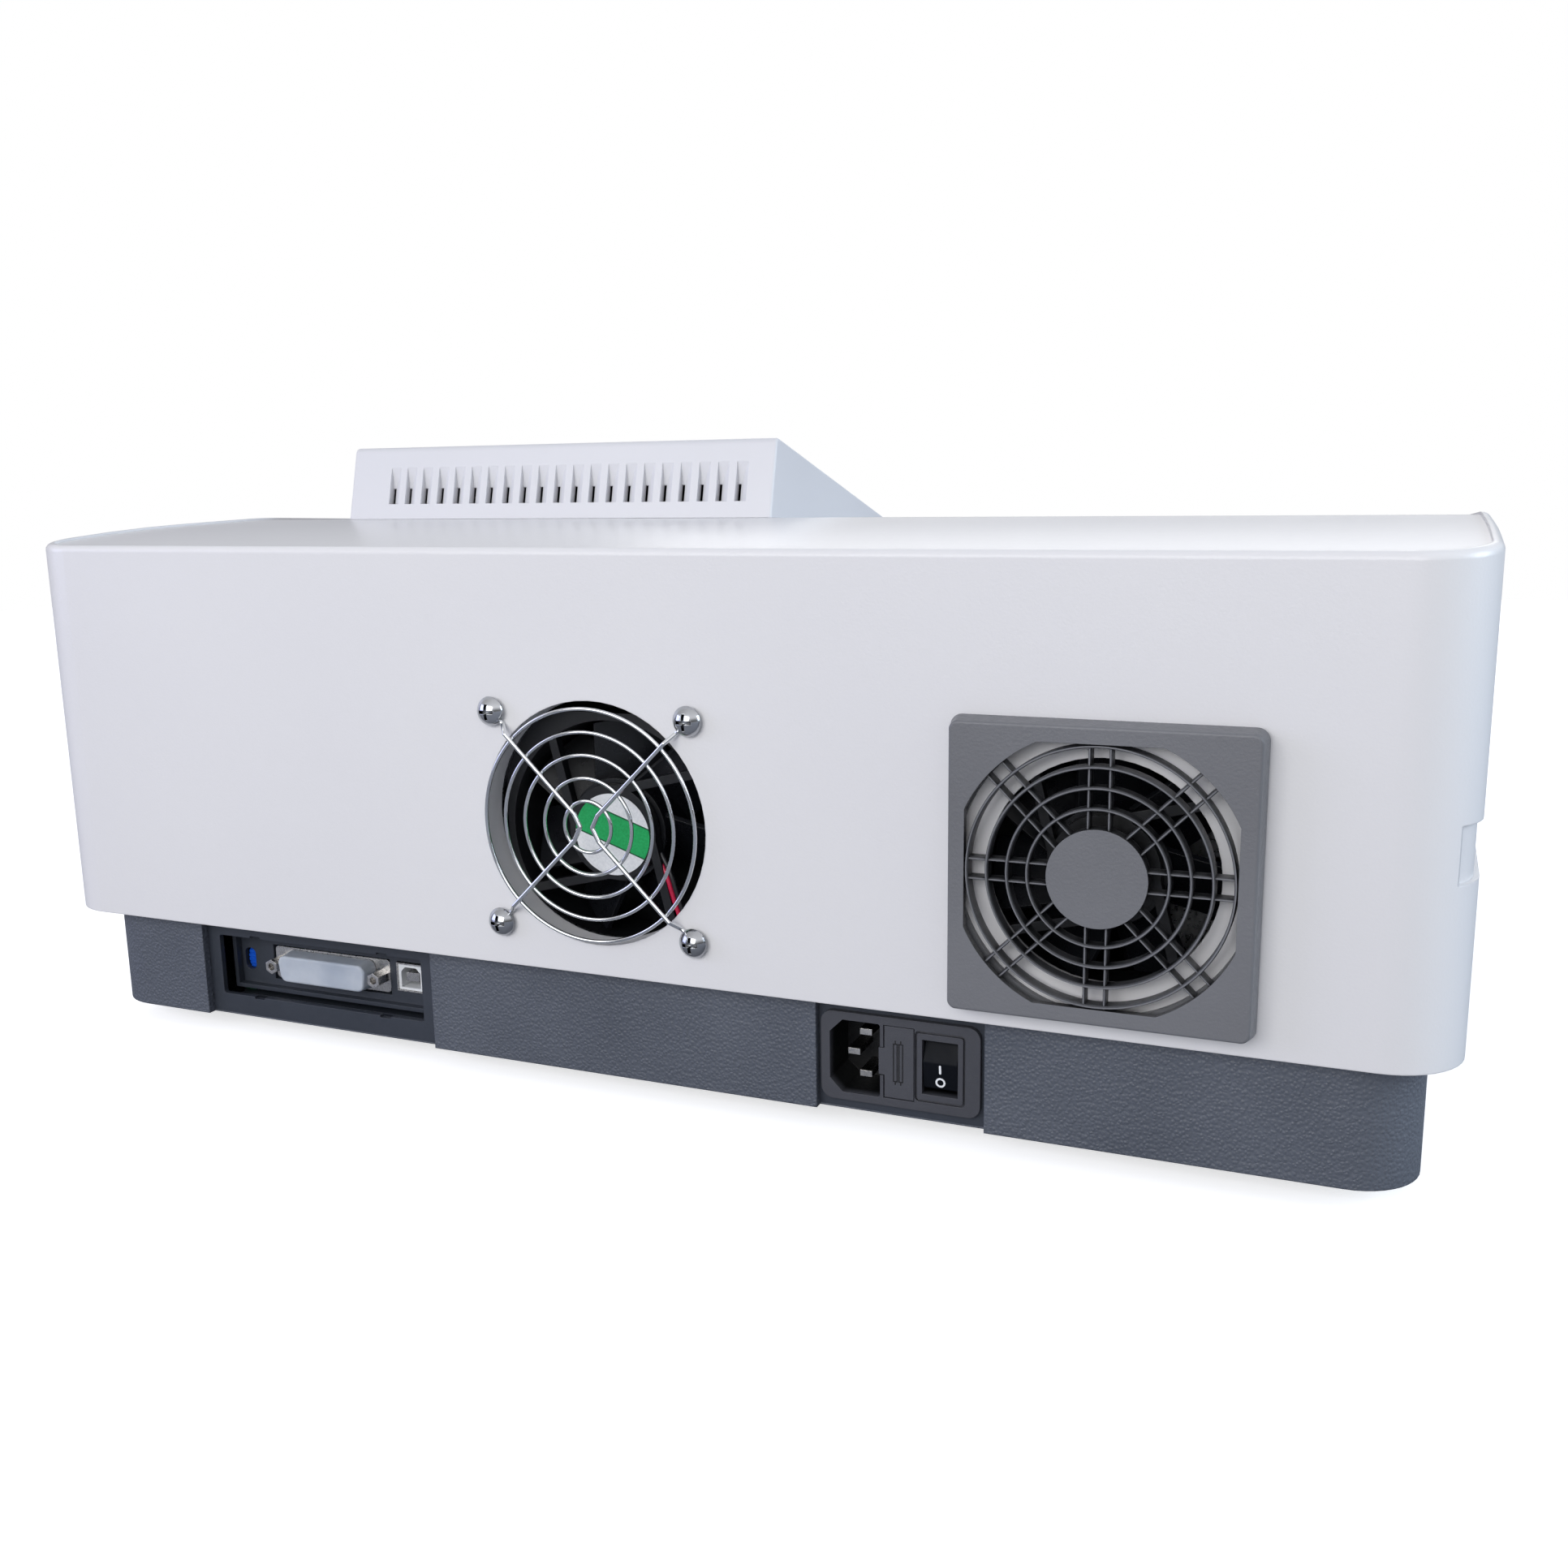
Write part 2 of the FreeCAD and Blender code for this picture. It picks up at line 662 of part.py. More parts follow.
def side_grips():
    band = case_plan(-1, GRIP_Z - GRIP_HEIGHT / 2, GRIP_Z + GRIP_HEIGHT / 2)
    band = band.cut(case_plan(GRIP_DEPTH, GRIP_Z - GRIP_HEIGHT, GRIP_Z + GRIP_HEIGHT))
    rear = REAR_Y - GRIP_START
    return band.common(box(-HALF_WIDTH - 2, HALF_WIDTH + 2, rear - GRIP_LENGTH, rear, BASE_Z, RIDGE_Z))


def knuckles(reach, bore, places):
    """Hinge barrels with a web each that runs from the axis to a wall."""
    parts = []
    for x in places:
        parts.append(rod(x - HINGE_KNUCKLE / 2, HINGE_Y, HINGE_Z, (1, 0, 0), HINGE_R, HINGE_KNUCKLE))
        y0, y1 = sorted((HINGE_Y, HINGE_Y + reach))
        parts.append(box(x - HINGE_KNUCKLE / 2, x + HINGE_KNUCKLE / 2, y0, y1, HINGE_Z - HINGE_R, HINGE_Z))
    return parts, rod(LID_LEFT, HINGE_Y, HINGE_Z, (1, 0, 0), bore, LID_WIDTH)


def make_cover():
    body, field = case_envelope()
    inner = rounded(
        -HALF_WIDTH + RIM_WIDTH, HALF_WIDTH - RIM_WIDTH, FIELD_FRONT_Y, REAR_Y - RIM_WIDTH, CORNER_R - RIM_WIDTH)
    envelope = body.cut(field.common(prism(inner, "z", COVER_Z, RIDGE_Z + 40)))
    skin = cover_skin(envelope)
    hinge, bore = knuckles(LID_GAP * 5 + 1, HINGE_PIN_R, (LID_X - HINGE_SPREAD, LID_X, LID_X + HINGE_SPREAD))
    collar = [rod(CENTRE_FAN_X, COLLAR_Y, FAN_Z, (0, 1, 0), CENTRE_HOLE_R + COLLAR_WALL,
        REAR_Y - 1 - COLLAR_Y)]
    for x, z in square(CENTRE_FAN_X, FAN_Z, FAN_HOLE_PITCH):
        collar.append(rod(x, COLLAR_Y, z, (0, 1, 0), BOSS_R, REAR_Y - 1 - COLLAR_Y))
    skin = fuse([skin] + hinge + collar)
    deck_hole = box(
        CHAMBER_LEFT + CHAMBER_WALL, CHAMBER_RIGHT - CHAMBER_WALL, CHAMBER_FRONT + CHAMBER_WALL,
        CHAMBER_REAR - CHAMBER_WALL, DECK_Z - 9, DECK_Z + 1)
    tools = [bore, deck_hole, side_grips(), keypad_block(KEYPAD_SINK, 0.4, 20)]
    tools.append(rod(CENTRE_FAN_X, COLLAR_Y - 1, FAN_Z, (0, 1, 0), CENTRE_HOLE_R, 20))
    tools.append(rod(SIDE_FAN_X, REAR_Y - 10, SIDE_FAN_Z, (0, 1, 0), SIDE_HOLE_R, 20))
    for x, z in square(CENTRE_FAN_X, FAN_Z, FAN_HOLE_PITCH) + square(SIDE_FAN_X, SIDE_FAN_Z, FAN_HOLE_PITCH):
        tools.append(rod(x, COLLAR_Y - 1, z, (0, 1, 0), SCREW_SHANK_R + 0.1, 20))
    reach = LCD_WIDTH / 2 + 3
    tools.append(box(HOOD_X - reach, HOOD_X + reach, BROW_Y + 8, HOOD_REAR_Y - 30, RIDGE_Z - 20,
        RIDGE_Z + 10))
    save("cover", skin.cut(Part.makeCompound(tools)))
    return envelope


def make_lid(envelope):
    edge = case_body(LID_SKIRT, COVER_Z, LID_SKIRT + RIM_STEP)
    shell = envelope.cut(edge).common(lid_region(0))
    pocket = case_body(LID_WALL, COVER_Z, LID_WALL + RIM_STEP)
    rear = HINGE_Y - LID_GAP * 5
    side = box(LID_LEFT + LID_WALL, LID_RIGHT - LID_WALL, FRONT_Y - 1, rear - LID_WALL,
        LID_FRONT_Z + LID_WALL, RIDGE_Z)
    shell = shell.cut(pocket.common(side))
    x0, x1 = CHAMBER_LEFT + CHAMBER_WALL - 2.2, CHAMBER_RIGHT - CHAMBER_WALL + 2.2
    y0, y1 = CHAMBER_FRONT + CHAMBER_WALL - 2.2, CHAMBER_REAR - CHAMBER_WALL + 2.2
    skirt = frame_ring(x0, x1, y0, y1, WELL_WALL, DECK_Z + SEAL_THICKNESS + FIT_GAP, RIDGE_Z)
    skirt = skirt.common(case_body(1.5, COVER_Z, LID_WALL + RIM_STEP - 1))
    places = (LID_X - HINGE_SPREAD / 2, LID_X + HINGE_SPREAD / 2)
    hinge, bore = knuckles(-LID_GAP * 5 - 1, HINGE_PIN_R + HINGE_RUNNING, places)
    save("sample_lid", fuse([shell, skirt] + hinge).cut(bore))
    low, high = LID_X - HINGE_SPREAD - HINGE_KNUCKLE / 2, LID_X + HINGE_SPREAD + HINGE_KNUCKLE / 2
    save("hinge_pin", rod(low, HINGE_Y, HINGE_Z, (1, 0, 0), HINGE_PIN_R, high - low))
    seal = frame_ring(x0 - 1, x1 + 1, y0 - 1, y1 + 1, SEAL_WIDTH - 1, DECK_Z, DECK_Z + SEAL_THICKNESS)
    save("lid_seal", seal)


def make_tray():
    tray = tray_plan(0, BASE_Z, SEAT_Z)
    tray = tray.cut(tray_plan(TRAY_WALL, FLOOR_Z, SEAT_Z))
    tools = []
    for x, width in ((PORT_NICHE_X, PORT_NICHE_WIDTH), (POWER_NICHE_X, POWER_NICHE_WIDTH)):
        points = rounded(x - width / 2, x + width / 2, PANEL_REAR_Y, TRAY_REAR_Y + 5, 0)
        tools.append(prism(points, "z", BASE_Z - 1, COVER_Z + 0.6))
    tools.append(panel_block(0))
    middle = (FLOOR_SLOT_COUNT - 1) / 2
    for x in (-120, 140):
        for i in range(FLOOR_SLOT_COUNT):
            left = x + (i - middle) * FLOOR_SLOT_PITCH - FLOOR_SLOT_WIDTH / 2
            reach = FLOOR_SLOT_LENGTH / 2
            points = rounded(left, left + FLOOR_SLOT_WIDTH, -reach, reach, FLOOR_SLOT_WIDTH / 2.01)
            tools.append(prism(points, "z", BASE_Z - 1, FLOOR_Z + 1))
    posts = []
    for x in (MAIN_BOARD_X + 6, MAIN_BOARD_X + MAIN_BOARD_WIDTH - 6):
        for y in (MAIN_BOARD_Y + 6, MAIN_BOARD_Y + MAIN_BOARD_LENGTH - 6):
            posts.append(rod(x, y, FLOOR_Z - 0.5, (0, 0, 1), POST_R, POST_HEIGHT + 0.5))
    save("base_tray", fuse([tray.cut(Part.makeCompound(tools))] + posts))
    feet = []
    for x in (-HALF_WIDTH + FOOT_INSET, HALF_WIDTH - FOOT_INSET):
        for y in (FRONT_Y + FOOT_INSET, REAR_Y - FOOT_INSET):
            feet.append(Part.makeCone(FOOT_R - 1, FOOT_R, FOOT_HEIGHT, V(x, y, 0)))
    save("feet", feet)


def panel_block(grow):
    x0 = POWER_NICHE_X - POWER_NICHE_WIDTH / 2 - 4
    x1 = PORT_NICHE_X + PORT_NICHE_WIDTH / 2 + 4
    return box(x0 - grow, x1 + grow, PANEL_INNER_Y - grow, PANEL_REAR_Y + grow, BASE_Z + 0.6, PANEL_TOP_Z)


def make_panel():
    x, z, half = PORT_NICHE_X + PORT_WINDOW_SHIFT, WINDOW_Z, PORT_WINDOW_HEIGHT / 2
    port = rounded(x - PORT_WINDOW_WIDTH / 2, x + PORT_WINDOW_WIDTH / 2, z - half, z + half, 1.0)
    reach = INLET_WIDTH / 2 - 2
    rise = INLET_HEIGHT / 2 - 2
    hole = rounded(INLET_X - reach - 0.2, INLET_X + reach + 0.2, INLET_Z - rise - 0.2,
        INLET_Z + rise + 0.2, 0)
    window = prism(port, "y", PANEL_INNER_Y - 1, PANEL_REAR_Y + 1)
    half += WINDOW_NOTCH_DEPTH
    for side in (-1, 1):
        left = x + side * WINDOW_NOTCH_SPREAD / 2 - WINDOW_NOTCH_WIDTH / 2
        notch = rounded(left, left + WINDOW_NOTCH_WIDTH, z - half, z + half, WINDOW_NOTCH_DEPTH / 2)
        window = window.fuse(prism(notch, "y", PANEL_INNER_Y - 1, PANEL_REAR_Y + 1))
    hole = prism(hole, "y", PANEL_INNER_Y - 1, PANEL_REAR_Y + 1)
    save("rear_panel", panel_block(0).cut(window).cut(hole))


def make_inlet():
    half, rise = INLET_WIDTH / 2, INLET_HEIGHT / 2
    bezel = rounded(INLET_X - half, INLET_X + half, INLET_Z - rise, INLET_Z + rise, 4.0)
    bezel = prism(bezel, "y", PANEL_REAR_Y, INLET_Y)
    body = box(INLET_X - half + 2, INLET_X + half - 2, INLET_Y - INLET_BODY_DEPTH, PANEL_REAR_Y + 0.5,
        INLET_Z - rise + 2, INLET_Z + rise - 2)
    socket_x = INLET_X + SOCKET_OFFSET
    w, h, c = SOCKET_WIDTH / 2, SOCKET_HEIGHT / 2, SOCKET_CHAMFER
    socket = [(socket_x - w, INLET_Z - h, 0.8), (socket_x + w - c, INLET_Z - h),
        (socket_x + w, INLET_Z - h + c),
              (socket_x + w, INLET_Z + h - c), (socket_x + w - c, INLET_Z + h),
              (socket_x - w, INLET_Z + h, 0.8)]
    tools = [prism(socket, "y", INLET_Y - SOCKET_DEPTH, INLET_Y + 1)]
    drawer_x = INLET_X + DRAWER_OFFSET
    dw, dh = DRAWER_WIDTH / 2 + FIT_GAP, DRAWER_HEIGHT / 2 + FIT_GAP
    tools.append(box(drawer_x - dw, drawer_x + dw, INLET_Y - DRAWER_DEPTH - 1, INLET_Y + 1, INLET_Z - dh,
        INLET_Z + dh))
    th = DRAWER_TAB_HEIGHT / 2 + FIT_GAP
    tools.append(box(drawer_x, drawer_x + dw + DRAWER_TAB_WIDTH, INLET_Y - 2.3, INLET_Y + 1, INLET_Z - th,
        INLET_Z + th))
    switch_x = INLET_X + SWITCH_OFFSET
    sw, sh = SWITCH_WIDTH / 2, SWITCH_HEIGHT / 2
    groove = []
    for inset, low in ((0, INLET_Y - SWITCH_GROOVE_DEPTH),
            (SWITCH_GROOVE, INLET_Y - SWITCH_GROOVE_DEPTH - 1)):
        w, h = sw - inset, sh - inset
        points = rounded(switch_x - w, switch_x + w, INLET_Z - h, INLET_Z + h, 1.5 - inset)
        groove.append(prism(points, "y", low, INLET_Y + 1 + inset))
    tools.append(groove[0].cut(groove[1]))
    rw, rh = ROCKER_WIDTH / 2 + ROCKER_GAP, ROCKER_HEIGHT / 2 + 1.1
    tools.append(box(switch_x - rw, switch_x + rw, INLET_Y - ROCKER_DEPTH, INLET_Y + 1, INLET_Z - rh,
        INLET_Z + rh))
    pivot_y = INLET_Y - ROCKER_PIVOT_DEPTH
    tools.append(rod(switch_x - rw - 1.2, pivot_y, INLET_Z, (1, 0, 0), 1.5 + HINGE_RUNNING, rw * 2 + 2.4))
    pins = []
    for x, z in pin_places():
        floor_y = INLET_Y - SOCKET_DEPTH
        size = (x - PIN_WIDTH / 2, x + PIN_WIDTH / 2, floor_y - 16, floor_y + PIN_LENGTH,
            z - PIN_THICKNESS / 2, z + PIN_THICKNESS / 2)
        pins.append(box(*size))
    save("power_inlet", fuse([bezel, body]).cut(Part.makeCompound(tools + pins)))
    save("inlet_pins", pins)


def pin_places():
    """Live, neutral and earth blades in the socket. The earth blade stands on the bevelled side."""
    x = INLET_X + SOCKET_OFFSET - PIN_OFFSET / 2
    return [(x, INLET_Z + PIN_PITCH / 2), (x, INLET_Z - PIN_PITCH / 2), (x + PIN_OFFSET, INLET_Z)]


def make_drawer():
    x = INLET_X + DRAWER_OFFSET
    w, h = DRAWER_WIDTH / 2, DRAWER_HEIGHT / 2
    front = INLET_Y - 0.2
    body = box(x - w, x + w, INLET_Y - DRAWER_DEPTH, front, INLET_Z - h, INLET_Z + h)
    tab = box(x, x + w + DRAWER_TAB_WIDTH, INLET_Y - 2, front, INLET_Z - DRAWER_TAB_HEIGHT / 2,
        INLET_Z + DRAWER_TAB_HEIGHT / 2)
    slots, fuses = [], []
    for y in (INLET_Y - 8, INLET_Y - 17):
        slots.append(box(x - w - 1, x + FUSE_R, y - FUSE_R, y + FUSE_R, INLET_Z - FUSE_LENGTH / 2,
            INLET_Z + FUSE_LENGTH / 2))
        fuses.append(rod(x, y, INLET_Z - FUSE_LENGTH / 2, (0, 0, 1), FUSE_R, FUSE_LENGTH))
    save("fuse_drawer", fuse([body, tab]).cut(Part.makeCompound(slots)))
    save("fuses", fuses)


def make_rocker():
    x = INLET_X + SWITCH_OFFSET
    half = ROCKER_HEIGHT / 2
    ridge = ROCKER_PIVOT_DEPTH + ROCKER_RIDGE
    end = ridge - half * math.tan(math.radians(ROCKER_BEVEL))
    points = [
        (end, half, 0.5), (ridge, ROCKER_RIDGE_RISE, 1.2), (end, -half, 0.5), (0, -half + 1.5, 1),
        (-2.2, 0, 4),
        (0, half - 1.5, 1)]
    blade = prism(points, "x", -ROCKER_WIDTH / 2, ROCKER_WIDTH / 2)
    pin = rod(-ROCKER_WIDTH / 2 - 1, 0, 0, (1, 0, 0), 1.5, ROCKER_WIDTH + 2)
    rocker = turned(fuse([blade, pin]), x, INLET_Y - ROCKER_PIVOT_DEPTH, INLET_Z, (1, 0, 0), ROCKER_TILT)
    save("rocker_switch", rocker)


def make_ports():
    y = BRACKET_Y
    x0, x1 = BRACKET_X - BRACKET_WIDTH / 2, BRACKET_X + BRACKET_WIDTH / 2
    z0, z1 = PORT_Z - BRACKET_LOW, PORT_Z + BRACKET_HIGH
    inner = box(
        x0 + BRACKET_RIM_WIDTH, x1 - BRACKET_RIM_WIDTH, y, y + BRACKET_RIM + 1, z0 + BRACKET_RIM_WIDTH,
        z1 - BRACKET_RIM_WIDTH)
    plate = box(x0, x1, y - BRACKET_THICKNESS, y + BRACKET_RIM, z0, z1).cut(inner)
    foot = box(x0, x1, y - 16, y, FLOOR_Z, FLOOR_Z + BRACKET_THICKNESS)
    wheel_left = WHEEL_X - WHEEL_THICKNESS / 2
    shelf_end = WHEEL_X + WHEEL_THICKNESS / 2
    rear = y - BRACKET_SHELF
    sides = [box(x0, shelf_end, rear, y - 0.5, z0, z0 + BRACKET_THICKNESS)]
    for x in (x0, wheel_left - BRACKET_LEG):
        sides.append(box(x, x + BRACKET_LEG, rear, rear + BRACKET_THICKNESS, FLOOR_Z, z0 + BRACKET_THICKNESS))
    w, h = PORT_FLANGE_WIDTH / 2 + PORT_FLANGE_GAP, PORT_FLANGE_HEIGHT / 2 + PORT_FLANGE_GAP
    tools = [box(PORT_X - w, PORT_X + w, y - 4, y + 1, PORT_Z - h, PORT_Z + h)]
    tools.append(box(USB_X - USB_WIDTH / 2 - 0.3, USB_X + USB_WIDTH / 2 + 0.3, y - 4, y + 1,
        USB_Z - USB_HEIGHT / 2 - 0.3, USB_Z + USB_HEIGHT / 2 + 0.3))
    slot = rounded(WHEEL_X - WHEEL_SLOT_WIDTH / 2, WHEEL_X + WHEEL_SLOT_WIDTH / 2,
        WHEEL_Z - WHEEL_SLOT_HEIGHT / 2, WHEEL_Z + WHEEL_SLOT_HEIGHT / 2, 2.2)
    tools.append(prism(slot, "y", y - 4, y + 1))
    save("port_bracket", fuse([plate, foot] + sides).cut(Part.makeCompound(tools)))
    board_y = y - BRACKET_THICKNESS - 12
    x0, x1 = USB_X - USB_WIDTH / 2, USB_X + USB_WIDTH / 2
    z0, z1 = USB_Z - USB_HEIGHT / 2, USB_Z + USB_HEIGHT / 2
    outer = box(x0, x1, board_y, y + 1.0, z0, z1)
    hollow = box(x0 + USB_WALL, x1 - USB_WALL, y - 9, y + 2, z0 + USB_WALL, z1 - USB_WALL)
    tongue = box(USB_X - 2.8, USB_X + 2.8, y - 10, y - 0.5, USB_Z - 1.6, USB_Z + 1.6)
    save("usb_port", outer.cut(hollow).fuse(tongue))
    y -= PORT_SINK
    flange = prism(rounded(PORT_X - PORT_FLANGE_WIDTH / 2, PORT_X + PORT_FLANGE_WIDTH / 2,
        PORT_Z - PORT_FLANGE_HEIGHT / 2, PORT_Z + PORT_FLANGE_HEIGHT / 2, 1.5), "y", y, y + 0.8)
    port_block = box(PORT_X - SHELL_WIDTH / 2, PORT_X + SHELL_WIDTH / 2, board_y, y + 0.4,
        PORT_Z - SHELL_HEIGHT / 2, PORT_Z + SHELL_HEIGHT / 2)
    shell = prism(d_shape(0), "y", y + 0.4,
        y + SHELL_DEPTH).cut(prism(d_shape(0.6), "y", y + 1.5, y + SHELL_DEPTH + 1))
    holes = [rod(PORT_X + s * JACKSCREW_PITCH / 2, y - 1, PORT_Z, (0, 1, 0), 1.6, 6) for s in (-1, 1)]
    save("serial_port", fuse([flange, port_block, shell]).cut(Part.makeCompound(holes)))
    jacks = []
    for s in (-1, 1):
        x = PORT_X + s * JACKSCREW_PITCH / 2
        hexagon = [(x + JACKSCREW_SIZE / 1.732 * math.sin(i * math.pi / 3),
            PORT_Z + JACKSCREW_SIZE / 1.732 * math.cos(i * math.pi / 3)) for i in range(6)]
        head = prism(hexagon, "y", y + 0.8, y + 0.8 + JACKSCREW_LENGTH)
        stem = rod(x, y - 5, PORT_Z, (0, 1, 0), 1.5, 6)
        jacks.append(head.fuse(stem).cut(rod(x, y + 2.8, PORT_Z, (0, 1, 0), 1.4, 6)))
    save("jackscrews", jacks)
    floor = y + SHELL_DEPTH + 2 * CAP_CLEARANCE
    cap = d_prism(CAP_GROW, y + 1.1, floor + CAP_WALL, CAP_DRAFT, CAP_CORNER_R)
    cap = cap.makeFillet(CAP_EDGE_R,
        [e for e in cap.Edges if abs(e.CenterOfMass.y - floor - CAP_WALL) < 0.01])
    hollow = prism(d_shape(-CAP_CLEARANCE), "y", y + 1.1, floor)
    save("dust_cap", cap.cut(hollow))


def port_board():
    rear = BRACKET_Y - BRACKET_THICKNESS - 12
    left = BRACKET_X - BRACKET_WIDTH / 2 + 2
    return box(left, WHEEL_X - WHEEL_R - 3, rear - BOARD_THICKNESS, rear, PORT_Z - 12, PORT_Z + 14)


def d_shape(inset, radius=SHELL_CORNER_R):
    """Outline of the port's D-shaped shell, moved in by inset. The wide side is up."""
    w, h = SHELL_WIDTH / 2 - inset, SHELL_HEIGHT / 2 - inset
    low, high = w - SHELL_LEAN, w
    return [
        (PORT_X - low, PORT_Z - h, radius), (PORT_X + low, PORT_Z - h, radius),
        (PORT_X + high, PORT_Z + h, radius), (PORT_X - high, PORT_Z + h, radius)]


def tapered(wide, narrow, y0, y1):
    """Block between an outline at y0 and a narrower one at y1."""
    ends = [outline(wide, lambda u, v: V(u, y0, v)), outline(narrow, lambda u, v: V(u, y1, v))]
    return Part.makeLoft(ends, True, True)


def d_prism(grow, y0, y1, draft, radius):
    """D-shaped block that narrows by draft from y0 to y1."""
    return tapered(d_shape(-grow, radius), d_shape(draft - grow, radius), y0, y1)


def make_wheel():
    y = BRACKET_Y - WHEEL_SINK - WHEEL_R
    disc = rod(WHEEL_X - WHEEL_THICKNESS / 2, y, WHEEL_Z, (1, 0, 0), WHEEL_R, WHEEL_THICKNESS)
    notches = []
    for i in range(WHEEL_NOTCHES):
        angle = 2 * math.pi * i / WHEEL_NOTCHES
        notches.append(rod(WHEEL_X - WHEEL_THICKNESS, y + WHEEL_R * math.cos(angle),
            WHEEL_Z + WHEEL_R * math.sin(angle), (1, 0, 0), WHEEL_NOTCH_R, WHEEL_THICKNESS * 2))
    shaft = rod(WHEEL_X + WHEEL_THICKNESS / 2 - 0.5, y, WHEEL_Z, (1, 0, 0), WHEEL_SHAFT_R, 5)
    save("contrast_wheel", fuse([disc.cut(Part.makeCompound(notches)), shaft]))
    left = WHEEL_X + WHEEL_THICKNESS / 2 + 0.8
    dial = box(left, left + 5, y - 5, y + 5, FLOOR_Z + BRACKET_THICKNESS, WHEEL_Z + 5)
    dial = dial.cut(rod(left - 1, y, WHEEL_Z, (1, 0, 0), WHEEL_SHAFT_R + HINGE_RUNNING, 5))
    save("port_board", [port_board(), dial])


def make_fan(name, x, z, rear_y):
    """Writes the rotor of an axial fan and gives its frame, with hub plate and four struts at the rear."""
    half = FAN_SIZE / 2
    front_y = rear_y - FAN_DEPTH
    duct = ring(x, front_y, z, (0, 1, 0), half - 0.3, FAN_BORE_R, FAN_DEPTH)
    flanges = []
    for y in (front_y, rear_y - 4.5):
        flange = prism(rounded(x - half, x + half, z - half, z + half, 3), "y", y, y + 4.5)
        flanges.append(flange.cut(rod(x, y - 1, z, (0, 1, 0), FAN_BORE_R, 8)))
    plate = ring(x, rear_y - FAN_PLATE, z, (0, 1, 0), FAN_HUB_R, FAN_AXLE_R + HINGE_RUNNING, FAN_PLATE)
    cap = rod(x, rear_y - 0.8, z, (0, 1, 0), FAN_HUB_R, 0.8)
    struts = []
    for i in range(4):
        strut = box(FAN_HUB_R - 4, FAN_HUB_R - 1, -FAN_PLATE, 0, 0, FAN_BORE_R + 1)
        strut.rotate(V(0, 0, 0), V(0, 1, 0), 90 * i + 14)
        strut.translate(V(x, rear_y, z))
        struts.append(strut.common(rod(x, rear_y - 6, z, (0, 1, 0), FAN_BORE_R + 1, 8)))
    holes = [rod(hx, front_y - 1, hz, (0, 1, 0), FAN_HOLE_R, FAN_DEPTH + 2)
        for hx, hz in square(x, z, FAN_HOLE_PITCH)]
    frame = fuse([duct, plate, cap] + flanges + struts)
    frame = frame.cut(Part.makeCompound(holes))
    hub_rear = rear_y - FAN_PLATE - 0.8
    depth = FAN_DEPTH - FAN_PLATE - 1.8
    hub = rod(0, -depth, 0, (0, 1, 0), ROTOR_HUB_R, depth)
    hub = hub.makeFillet(1.5, [e for e in hub.Edges if e.CenterOfMass.y < -depth + 0.1 and e.Length > 50])
    blades = []
    for i in range(BLADE_COUNT):
        blade = box(-BLADE_CHORD / 2, BLADE_CHORD / 2, -BLADE_THICKNESS / 2, BLADE_THICKNESS / 2,
            ROTOR_HUB_R - 3, FAN_BORE_R)
        blade.rotate(V(0, 0, 0), V(0, 0, 1), BLADE_PITCH)
        blade.translate(V(0, -depth / 2, 0))
        blade.rotate(V(0, 0, 0), V(0, 1, 0), 360 * i / BLADE_COUNT)
        blades.append(blade)
    sweep = rod(0, -depth, 0, (0, 1, 0), FAN_BORE_R - BLADE_TIP_GAP, depth)
    axle = rod(0, -2, 0, (0, 1, 0), FAN_AXLE_R, FAN_PLATE + 0.8 + 2 - 1.2)
    rotor = fuse([hub, axle] + [b.common(sweep) for b in blades])
    rotor.translate(V(x, hub_rear, z))
    save(name + "_fan_rotor", rotor)
    return frame


def make_fan_bracket():
    x, z = CENTRE_FAN_X, FAN_Z
    y = COLLAR_Y - BRACKET_PLATE
    plate = box(x - 47, x + 47, y, COLLAR_Y, SEAT_Z + FLANGE_THICKNESS + 0.4, z + 47)
    plate = plate.cut(rod(x, y - 1, z, (0, 1, 0), CENTRE_HOLE_R, 5))
    pegs = [rod(px, y - 5, pz, (0, 1, 0), FAN_HOLE_R - HINGE_RUNNING, 5.5)
        for px, pz in square(x - CENTRE_FAN_SHIFT, z - CENTRE_FAN_DROP, FAN_HOLE_PITCH)]
    holes = [rod(px, y - 1, pz, (0, 1, 0), SCREW_SHANK_R, 5) for px, pz in square(x, z, FAN_HOLE_PITCH)]
    save("fan_bracket", fuse([plate] + pegs).cut(Part.makeCompound([h.common(plate) for h in holes])))


def make_wire_guard():
    x, z = CENTRE_FAN_X, FAN_Z
    y = REAR_Y + GUARD_STANDOFF
    parts = []
    for i in range(GUARD_RINGS):
        parts.append(Part.makeTorus(GUARD_RING_R + i * GUARD_RING_STEP, RING_WIRE_R, V(x, y, z), V(0, 1, 0)))
    front = GUARD_FRONT_Y
    half = FAN_HOLE_PITCH / 2
    for side in (-1, 1):
        low = REAR_Y + WIRE_R
        upper = [V(x + side * (half - inward), level, z + half - inward) for inward, level in GUARD_BENDS]
        bend = V(x + side * APEX_REACH * 2, front, z + APEX_REACH * 2)
        lower = [V(p.x, p.y, 2 * z - p.z) for p in [bend] + upper[::-1]]
        parts += wire(upper + [bend, V(x + side * APEX_REACH, front, z)] + lower, WIRE_R)
        for up in (-1, 1):
            parts.append(Part.makeTorus(GUARD_EYE_R, WIRE_R, V(x + side * half, low, z + up * half),
                V(0, 1, 0)))
    save("wire_guard", parts[0].multiFuse(parts[1:]))


